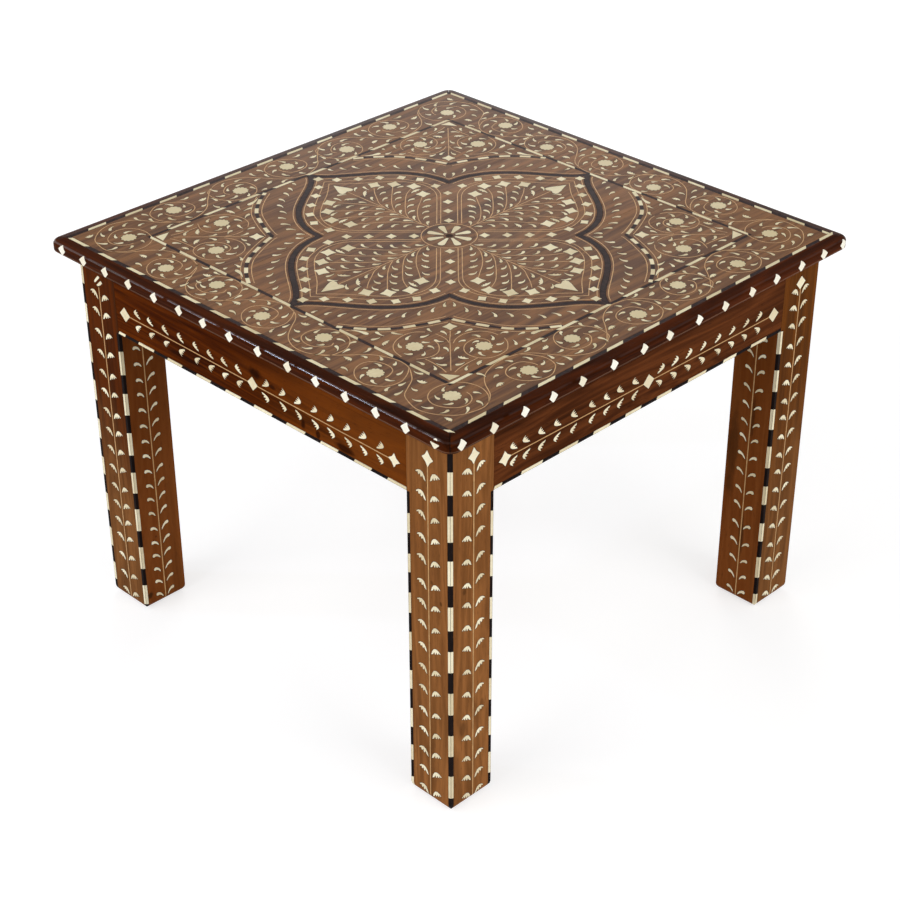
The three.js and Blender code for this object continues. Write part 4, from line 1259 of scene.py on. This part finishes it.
def wrapped_diamond(inlay, section, quarter, middle, tilt, parts):
    """One diamond that follows the moulding's section, or the parts of it that are left."""
    s = inlay.sizes
    half = DIAMOND_HEIGHT / 2
    edge = DIAMOND_COLUMNS - 1
    for low, high in parts:
        rows = max(round(DIAMOND_ROWS * (high - low) / 2), 2)
        rings = []
        for k in range(rows + 1):
            rise = half * between(low, high, k / rows)
            width = between(DIAMOND_WIDTH, BLUNT_TIP, abs(rise) / half)
            out, z, nx, nz = along_section(section, DIAMOND_FOOT + half + rise)
            x = middle + tilt * rise
            for level in (s.proud / MM, -s.sink / MM):
                for c in range(DIAMOND_COLUMNS):
                    rings.append((x + width * (c / edge - 0.5), out + nx * level, z + nz * level))
        row = 2 * DIAMOND_COLUMNS
        last = row * rows
        faces = []
        for c in range(edge):
            d = DIAMOND_COLUMNS + c
            faces += [[c, c + 1, d + 1, d], [last + c, last + d, last + d + 1, last + c + 1]]
            for a in range(0, last, row):
                faces += [[a + c, a + row + c, a + row + c + 1, a + c + 1],
                          [a + d, a + d + 1, a + row + d + 1, a + row + d]]
        for a in range(0, last, row):
            b = a + row
            faces += [[a, a + DIAMOND_COLUMNS, b + DIAMOND_COLUMNS, b],
                      [a + edge, b + edge, b + edge + DIAMOND_COLUMNS, a + edge + DIAMOND_COLUMNS]]
        inlay.bone.add(rings, faces, round_corner(quarter), inlay.bone.chance.random())


# Dark knots and streaks: place, squeeze along each axis, reach and depth of tone
APRON_BLOTS = (
    ((0.006, -0.28, 0.406), (1, 0, 1.25), 0.0125, 0.85), ((0.031, -0.28, 0.401), (0.8, 0, 1.8), 0.006, 0.7),
    ((-0.112, -0.28, 0.38), (0.14, 0, 1.4), 0.0062, 0.85), ((-0.15, -0.28, 0.387), (0.3, 0, 1.2), 0.004, 0.7),
    ((0.138, -0.28, 0.374), (0.4, 0, 1.1), 0.007, 0.85), ((0.076, -0.28, 0.377), (1, 0, 0.5), 0.0042, 0.8),
    ((0.098, -0.28, 0.374), (1, 0, 0.6), 0.0042, 0.8))
# How pale each leg is, the colour it turns towards at its top and by how much, and its knots
LEG_TONES = {
    "leg_front": (1.24, (116, 70, 34), 0.4, (
        ((0.267, -0.28, 0.256), (1, 0, 0.7), 0.0022, 0.7), ((0.255, -0.28, 0.275), (1, 0, 0.8), 0.0026, 0.5),
        ((0.25, -0.28, 0.383), (1, 0, 0.7), 0.0022, 0.6), ((0.28, -0.261, 0.267), (0, 1, 0.7), 0.003, 0.6),
        ((0.28, -0.263, 0.1), (0, 1, 0.5), 0.006, 0.5), ((0.28, -0.236, 0.117), (0, 1, 0.4), 0.004, 0.45))),
    "leg_right": (0.8, (94, 49, 8), 0.85, (
        ((0.252, 0.222, 0.09), (0.7, 0, 0.1), 0.0035, 0.7), ((0.254, 0.222, 0.25), (0.8, 0, 0.1), 0.003, 0.6),
        ((0.23, 0.222, 0.2), (0.4, 0, 0.05), 0.004, 0.6))),
    "leg_back": (0.9, (104, 52, 16), 0.5, ()),
    "leg_left": (0.88, (74, 29, 0), 0.97, (
        ((-0.222, -0.2727, 0.017), (0, 1, 0.8), 0.0052, 0.9),
        ((-0.222, -0.257, 0.0925), (0, 1, 1), 0.002, 0.7))),
}
# The colour that the front left apron turns towards at its right
WARM_APRON = hue(134, 74, 26)


# Operators: one for each piece or group of like pieces


class KURSI_OT_finishes(bpy.types.Operator):
    """Give the table's own solids their wood, ebony and steel finishes"""

    bl_idname = "kursi.finishes"
    bl_label = "Wood finishes"

    def execute(self, context):
        colours = context.scene.kursi_colours

        def tint(name):
            return tuple(getattr(colours, name))

        # One bone in three tones: the paler two are painted light
        for name in ("bone", "pale_bone", "white_bone"):
            bone("kursi_" + name, tint(name), tint(name + "_dark"))
        for name, finish in (("stringing", stringing), ("mastic", mastic), ("ebony", ebony)):
            finish("kursi_" + name, tint(name))
        steel("kursi_steel")
        for name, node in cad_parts.items():
            finish = self.finish_of(name, tint)
            for slot in node.material_slots:
                slot.material = finish
        return {"FINISHED"}

    def finish_of(self, name, tint):
        """The finish of one of the table's own solids."""
        shade = random.Random(name).uniform(0.94, 1.06)
        along_x = name.endswith(("front_left", "back_right"))
        grain = 0 if along_x else 1

        def pair(kind, paleness=1.0):
            return [tuple(c * shade * paleness for c in tint(kind + end)) for end in ("_light", "_dark")]

        if name.startswith("top_board") or name == "centre_medallion":
            board = "top_board_middle" if name == "centre_medallion" else name
            return wood(board, 1, 1.0, *pair("top"), gloss=0.46, specular=0.06, veins=0.45)
        if name.startswith("edge_moulding"):
            return wood(
                name, grain, 2.0, *pair("edge"), gloss=0.32, specular=0.012, coat=arris_gloss, veins=0.7,
                softened=1.6, change=pale_line_and_dark_mitres(tint("edge_worn")))
        if name.startswith("apron") and not name.endswith("strip"):
            first = name == "apron_front_left"
            return wood(
                name, grain, 3.0, *pair("apron" if along_x else "side_apron"), gloss=0.4, specular=0.005,
                veins=0.7, blots=APRON_BLOTS if first else (),
                change=lighter_to_the_right(WARM_APRON) if first else None)
        if name.startswith("leg") and "strip" not in name:
            paleness, dark, share, blots = LEG_TONES[name]
            return wood(
                name, 2, 4.0, *pair("leg", paleness), gloss=0.44, specular=0.01, veins=0.4, blots=blots,
                change=darker_upwards(hue(*dark), share))
        if name.startswith("glue_block"):
            return wood(name, 0, 5.0, tint("plain"), shaded(tint("plain"), 0.6), gloss=0.7, veins=0.1)
        return material_called("steel" if name.startswith("top_screw") else "ebony")


class KURSI_OT_bands(bpy.types.Operator):
    """Lay the bone dashes of the bands, the chequered band and the golden lines beside the ogee"""

    bl_idname = "kursi.bands"
    bl_label = "Bands of the top"

    def execute(self, context):
        inlay = InlaySet("top_bands", context.scene.kursi_sizes)
        black = Inlay("top_chequer_ebony", "banding", material_called("ebony"))
        for quarter in range(4):
            bands_of_side(inlay, black, quarter)
        inlay.make()
        black.make()
        return {"FINISHED"}


class KURSI_OT_border(bpy.types.Operator):
    """Lay the scrolling vine of the border"""

    bl_idname = "kursi.border"
    bl_label = "Border vine"

    def execute(self, context):
        inlay = InlaySet("top_border", context.scene.kursi_sizes)
        for quarter in range(4):
            border_side(inlay, quarter)
        inlay.make()
        return {"FINISHED"}


class KURSI_OT_spandrels(bpy.types.Operator):
    """Lay the scrolls in the corners of the field and the commas inside the ogee"""

    bl_idname = "kursi.spandrels"
    bl_label = "Corner scrolls"

    def execute(self, context):
        inlay = InlaySet("top_spandrel", context.scene.kursi_sizes)
        for quarter in range(4):
            spandrel(inlay, quarter)
        inlay.make()
        return {"FINISHED"}


class KURSI_OT_petals(bpy.types.Operator):
    """Lay the four great petals, the squares about them and the flower at the centre"""

    bl_idname = "kursi.petals"
    bl_label = "Petals and centre"

    def execute(self, context):
        inlay = InlaySet("top_petal", context.scene.kursi_sizes)
        for quarter in range(4):
            petal(inlay, quarter)
        centre_flower(inlay)
        inlay.make()
        return {"FINISHED"}


class KURSI_OT_moulding_diamonds(bpy.types.Operator):
    """Let the bone diamonds into the edge moulding"""

    bl_idname = "kursi.moulding_diamonds"
    bl_label = "Moulding diamonds"

    def execute(self, context):
        section = moulding_section()
        for quarter, side in enumerate(SIDES):
            inlay = InlaySet("edge_" + side, context.scene.kursi_sizes)
            for k, middle in enumerate(MOULDING_DIAMONDS[quarter % 2]):
                parts = CHIPPED_PARTS if (quarter, k) == CHIPPED else ((-1, 1),)
                wrapped_diamond(inlay, section, quarter, middle, inlay.chance.uniform(*DIAMOND_TILT), parts)
            inlay.make()
        return {"FINISHED"}


class KURSI_OT_apron_inlay(bpy.types.Operator):
    """Let the plants into the aprons and the bone bars into their lower arrises"""

    bl_idname = "kursi.apron_inlay"
    bl_label = "Apron inlay"

    def execute(self, context):
        for quarter, side in enumerate(SIDES):
            inlay = InlaySet("apron_" + side, context.scene.kursi_sizes)
            apron_face(inlay, quarter)
            section = corner_section(inlay.sizes.proud / MM)
            slant, stretches = APRON_BARS[quarter % 2]

            def bar(u, v, out, quarter=quarter, slant=slant):
                along = min(max(out - slant * v, -APRON_END), APRON_END)
                (x, y), = turned([(along, -HALF_FRAME - u)], quarter)
                return x, y, APRON_BOTTOM - v

            for start, end in stretches:
                inlay.bone.stack([(section, start), (section, end)], bar)
            inlay.make()
        return {"FINISHED"}


class KURSI_OT_leg_inlay(bpy.types.Operator):
    """Let the plants into the legs' faces and the bone bars into their arrises"""

    bl_idname = "kursi.leg_inlay"
    bl_label = "Leg inlay"

    def execute(self, context):
        for number, leg in enumerate(LEGS):
            inlay = InlaySet("leg_" + leg, context.scene.kursi_sizes)
            for quarter, face in LEG_FACES[leg].items():
                outer_leg_face(inlay, quarter, quarter == number, face)
            inner_leg_face(inlay, (number + 2) % 4, False, INNER_ROOTS[number % 2])
            inner_leg_face(inlay, (number + 3) % 4, True, INNER_ROOTS[(number + 1) % 2])
            self.bars(inlay, number, leg)
            inlay.make(drawn_to_foot)
        return {"FINISHED"}

    def bars(self, inlay, number, leg):
        """All the bars of one leg. The right leg has none down its outermost arris."""
        x, y = ((1, -1), (1, 1), (-1, 1), (-1, -1))[number]
        self.run(inlay, (x, y), (x, -y), (HALF_FRAME, HALF_OPENING), FIRST_SIDE_BARS.get(leg, USUAL_BARS))
        self.run(inlay, (x, y), (-x, y), (HALF_OPENING, HALF_FRAME), SECOND_SIDE_BARS.get(leg, USUAL_BARS))
        if leg in CORNER_BARS:
            self.run(inlay, (x, y), (x, y), (HALF_FRAME, HALF_FRAME), CORNER_BARS[leg])

    def run(self, inlay, corner, ways, arris, bars):
        """The bars down one arris of a leg. The ways are the two directions out of the wood there."""
        section = corner_section(inlay.sizes.proud / MM)
        slant, stretches = bars

        def bar(u, v, out):
            z = max(out + slant * (u + v), LOWEST_BAR_END)
            return corner[0] * arris[0] + ways[0] * u, corner[1] * arris[1] + ways[1] * v, z

        for top, bottom in stretches:
            inlay.bone.stack([(section, bottom), (section, top)], bar)


# Lamps: name, setting for the power, size, place and colour. They all aim at one point
LAMPS = (
    ("main_lamp", "key", 2.4, (-0.6, -3.0, 1.6), (1, 1, 1)),
    ("side_lamp", "side", 2.0, (3.0, 0.2, 1.35), (1, 1, 1)),
    ("back_lamp", "back", 1.6, (-2.1, 2.1, 1.45), (1, 1, 1)),
    ("window_lamp", "glint", 0.15, (-2.1, -1.9, 2.3), (0.62, 0.74, 1.0)))
LAMPS_AIM = Vector((0, 0, 0.3))
# The floor reaches this far. Where it is seen it gives back less light and glows, more so further out
FLOOR_REACH, SEEN_FLOOR, FAR_GLOW, GLOW_FROM, GLOW_TO = 9.0, 0.52, 0.2, 0.8, 3.5
# The camera's place, lens in millimetres and shift, and how far it looks down and round and leans, in degrees
CAMERA_PLACE, CAMERA_LENS, CAMERA_SHIFT = (1.4017, -1.4025, 1.4058), 81.94, (0.0111, 0.0556)
LOOK_DOWN, LOOK_ROUND, LEAN = 32.854, 45.318, -0.352


class KURSI_OT_stage(bpy.types.Operator):
    """Set up the floor, the lamps, the background and the camera"""

    bl_idname = "kursi.stage"
    bl_label = "Stage"

    def execute(self, context):
        studio = context.scene.kursi_studio
        self.floor(context, studio)
        self.background(context, studio)
        for name, setting, size, spot, tint in LAMPS:
            self.lamp(context, name, getattr(studio, setting), size, spot, tint)
        self.camera(context)
        context.scene.view_settings.view_transform = "Standard"
        return {"FINISHED"}

    def floor(self, context, studio):
        r = FLOOR_REACH
        mesh = bpy.data.meshes.new("floor")
        mesh.from_pydata([(-r, -r, 0), (r, -r, 0), (r, r, 0), (-r, r, 0)], [], [(0, 1, 2, 3)])
        finish = Finish("kursi_floor")
        base = finish.mix(finish.noise(1, scale=3, detail=2), (studio.floor,) * 3, (studio.floor * 0.985,) * 3)
        diffuse = finish.node("ShaderNodeBsdfDiffuse", {}, {"Color": base})
        faint = finish.node("ShaderNodeBsdfDiffuse", {}, {"Color": (SEEN_FLOOR, SEEN_FLOOR, SEEN_FLOOR, 1)})
        far = finish.step(finish.reach(finish.place()), GLOW_FROM, GLOW_TO)
        glow = finish.mix(far, (studio.floor_glow,) * 3, (studio.floor_glow + FAR_GLOW,) * 3)
        shine = finish.node("ShaderNodeEmission", {}, {"Color": glow, "Strength": 1.0})
        lit = finish.node("ShaderNodeAddShader", {}, {0: faint, 1: shine})
        finish.end(finish.node("ShaderNodeMixShader", {}, {0: seen_rays(finish), 1: diffuse, 2: lit}))
        mesh.materials.append(finish.holder)
        floor = bpy.data.objects.new("floor", mesh)
        context.scene.collection.objects.link(floor)

    def background(self, context, studio):
        """White where it is seen, and a softer light on the table."""
        world = bpy.data.worlds.new("kursi_world")
        context.scene.world = world
        finish = Finish("", world)
        light = finish.node("ShaderNodeBackground", {}, {"Color": (1, 1, 1, 1), "Strength": studio.sky})
        white = finish.node("ShaderNodeBackground", {}, {"Color": (1, 1, 1, 1), "Strength": 1.0})
        finish.end(finish.node("ShaderNodeMixShader", {}, {0: seen_rays(finish), 1: light, 2: white}))

    def lamp(self, context, name, power, size, spot, tint):
        data = bpy.data.lights.new(name, "AREA")
        data.energy, data.size, data.color = power, size, tint
        lamp = bpy.data.objects.new(name, data)
        lamp.location = spot
        lamp.rotation_euler = (LAMPS_AIM - Vector(spot)).to_track_quat("-Z", "Y").to_euler()
        context.scene.collection.objects.link(lamp)

    def camera(self, context):
        data = bpy.data.cameras.new("camera")
        data.sensor_width, data.lens = 36.0, CAMERA_LENS
        data.shift_x, data.shift_y = CAMERA_SHIFT
        data.clip_start, data.clip_end = 0.05, 50
        camera = bpy.data.objects.new("camera", data)
        camera.location = CAMERA_PLACE
        aim = Euler((math.radians(90 - LOOK_DOWN), 0, math.radians(LOOK_ROUND))).to_matrix()
        camera.rotation_euler = (aim @ Matrix.Rotation(math.radians(LEAN), 3, "Z")).to_euler()
        context.scene.collection.objects.link(camera)
        context.scene.camera = camera


def seen_rays(finish):
    """1 for rays that come from the camera, or from it by a gloss or through glass."""
    rays = [finish.node("ShaderNodeLightPath", {}, {}, name)
            for name in ("Is Camera Ray", "Is Glossy Ray", "Is Transmission Ray")]
    return finish.maths("MAXIMUM", finish.maths("MAXIMUM", rays[0], rays[1]), rays[2])


STEPS = (
    KURSI_OT_finishes, KURSI_OT_bands, KURSI_OT_border, KURSI_OT_spandrels, KURSI_OT_petals,
    KURSI_OT_moulding_diamonds, KURSI_OT_apron_inlay, KURSI_OT_leg_inlay, KURSI_OT_stage)
GROUPS = (("kursi_sizes", KursiInlaySizes), ("kursi_colours", KursiColours), ("kursi_studio", KursiStudio))


class KURSI_PT_table(bpy.types.Panel):
    """Lists the steps that dress the table"""

    bl_idname = "KURSI_PT_table"
    bl_label = "Inlaid kursi table"
    bl_space_type = "VIEW_3D"
    bl_region_type = "UI"
    bl_category = "Kursi table"

    def draw(self, context):
        for step in STEPS:
            self.layout.operator(step.bl_idname)
        for name, group in GROUPS:
            box = self.layout.box()
            for prop in group.__annotations__:
                box.prop(getattr(context.scene, name), prop)


def register():
    for name, group in GROUPS:
        bpy.utils.register_class(group)
        setattr(bpy.types.Scene, name, bpy.props.PointerProperty(type=group))
    for step in STEPS:
        bpy.utils.register_class(step)
    bpy.utils.register_class(KURSI_PT_table)


def unregister():
    bpy.utils.unregister_class(KURSI_PT_table)
    for step in reversed(STEPS):
        bpy.utils.unregister_class(step)
    for name, group in reversed(GROUPS):
        delattr(bpy.types.Scene, name)
        bpy.utils.unregister_class(group)


def main():
    register()
    for step in STEPS:
        group, name = step.bl_idname.split(".")
        getattr(getattr(bpy.ops, group), name)()


if __name__ == "__main__":
    main()
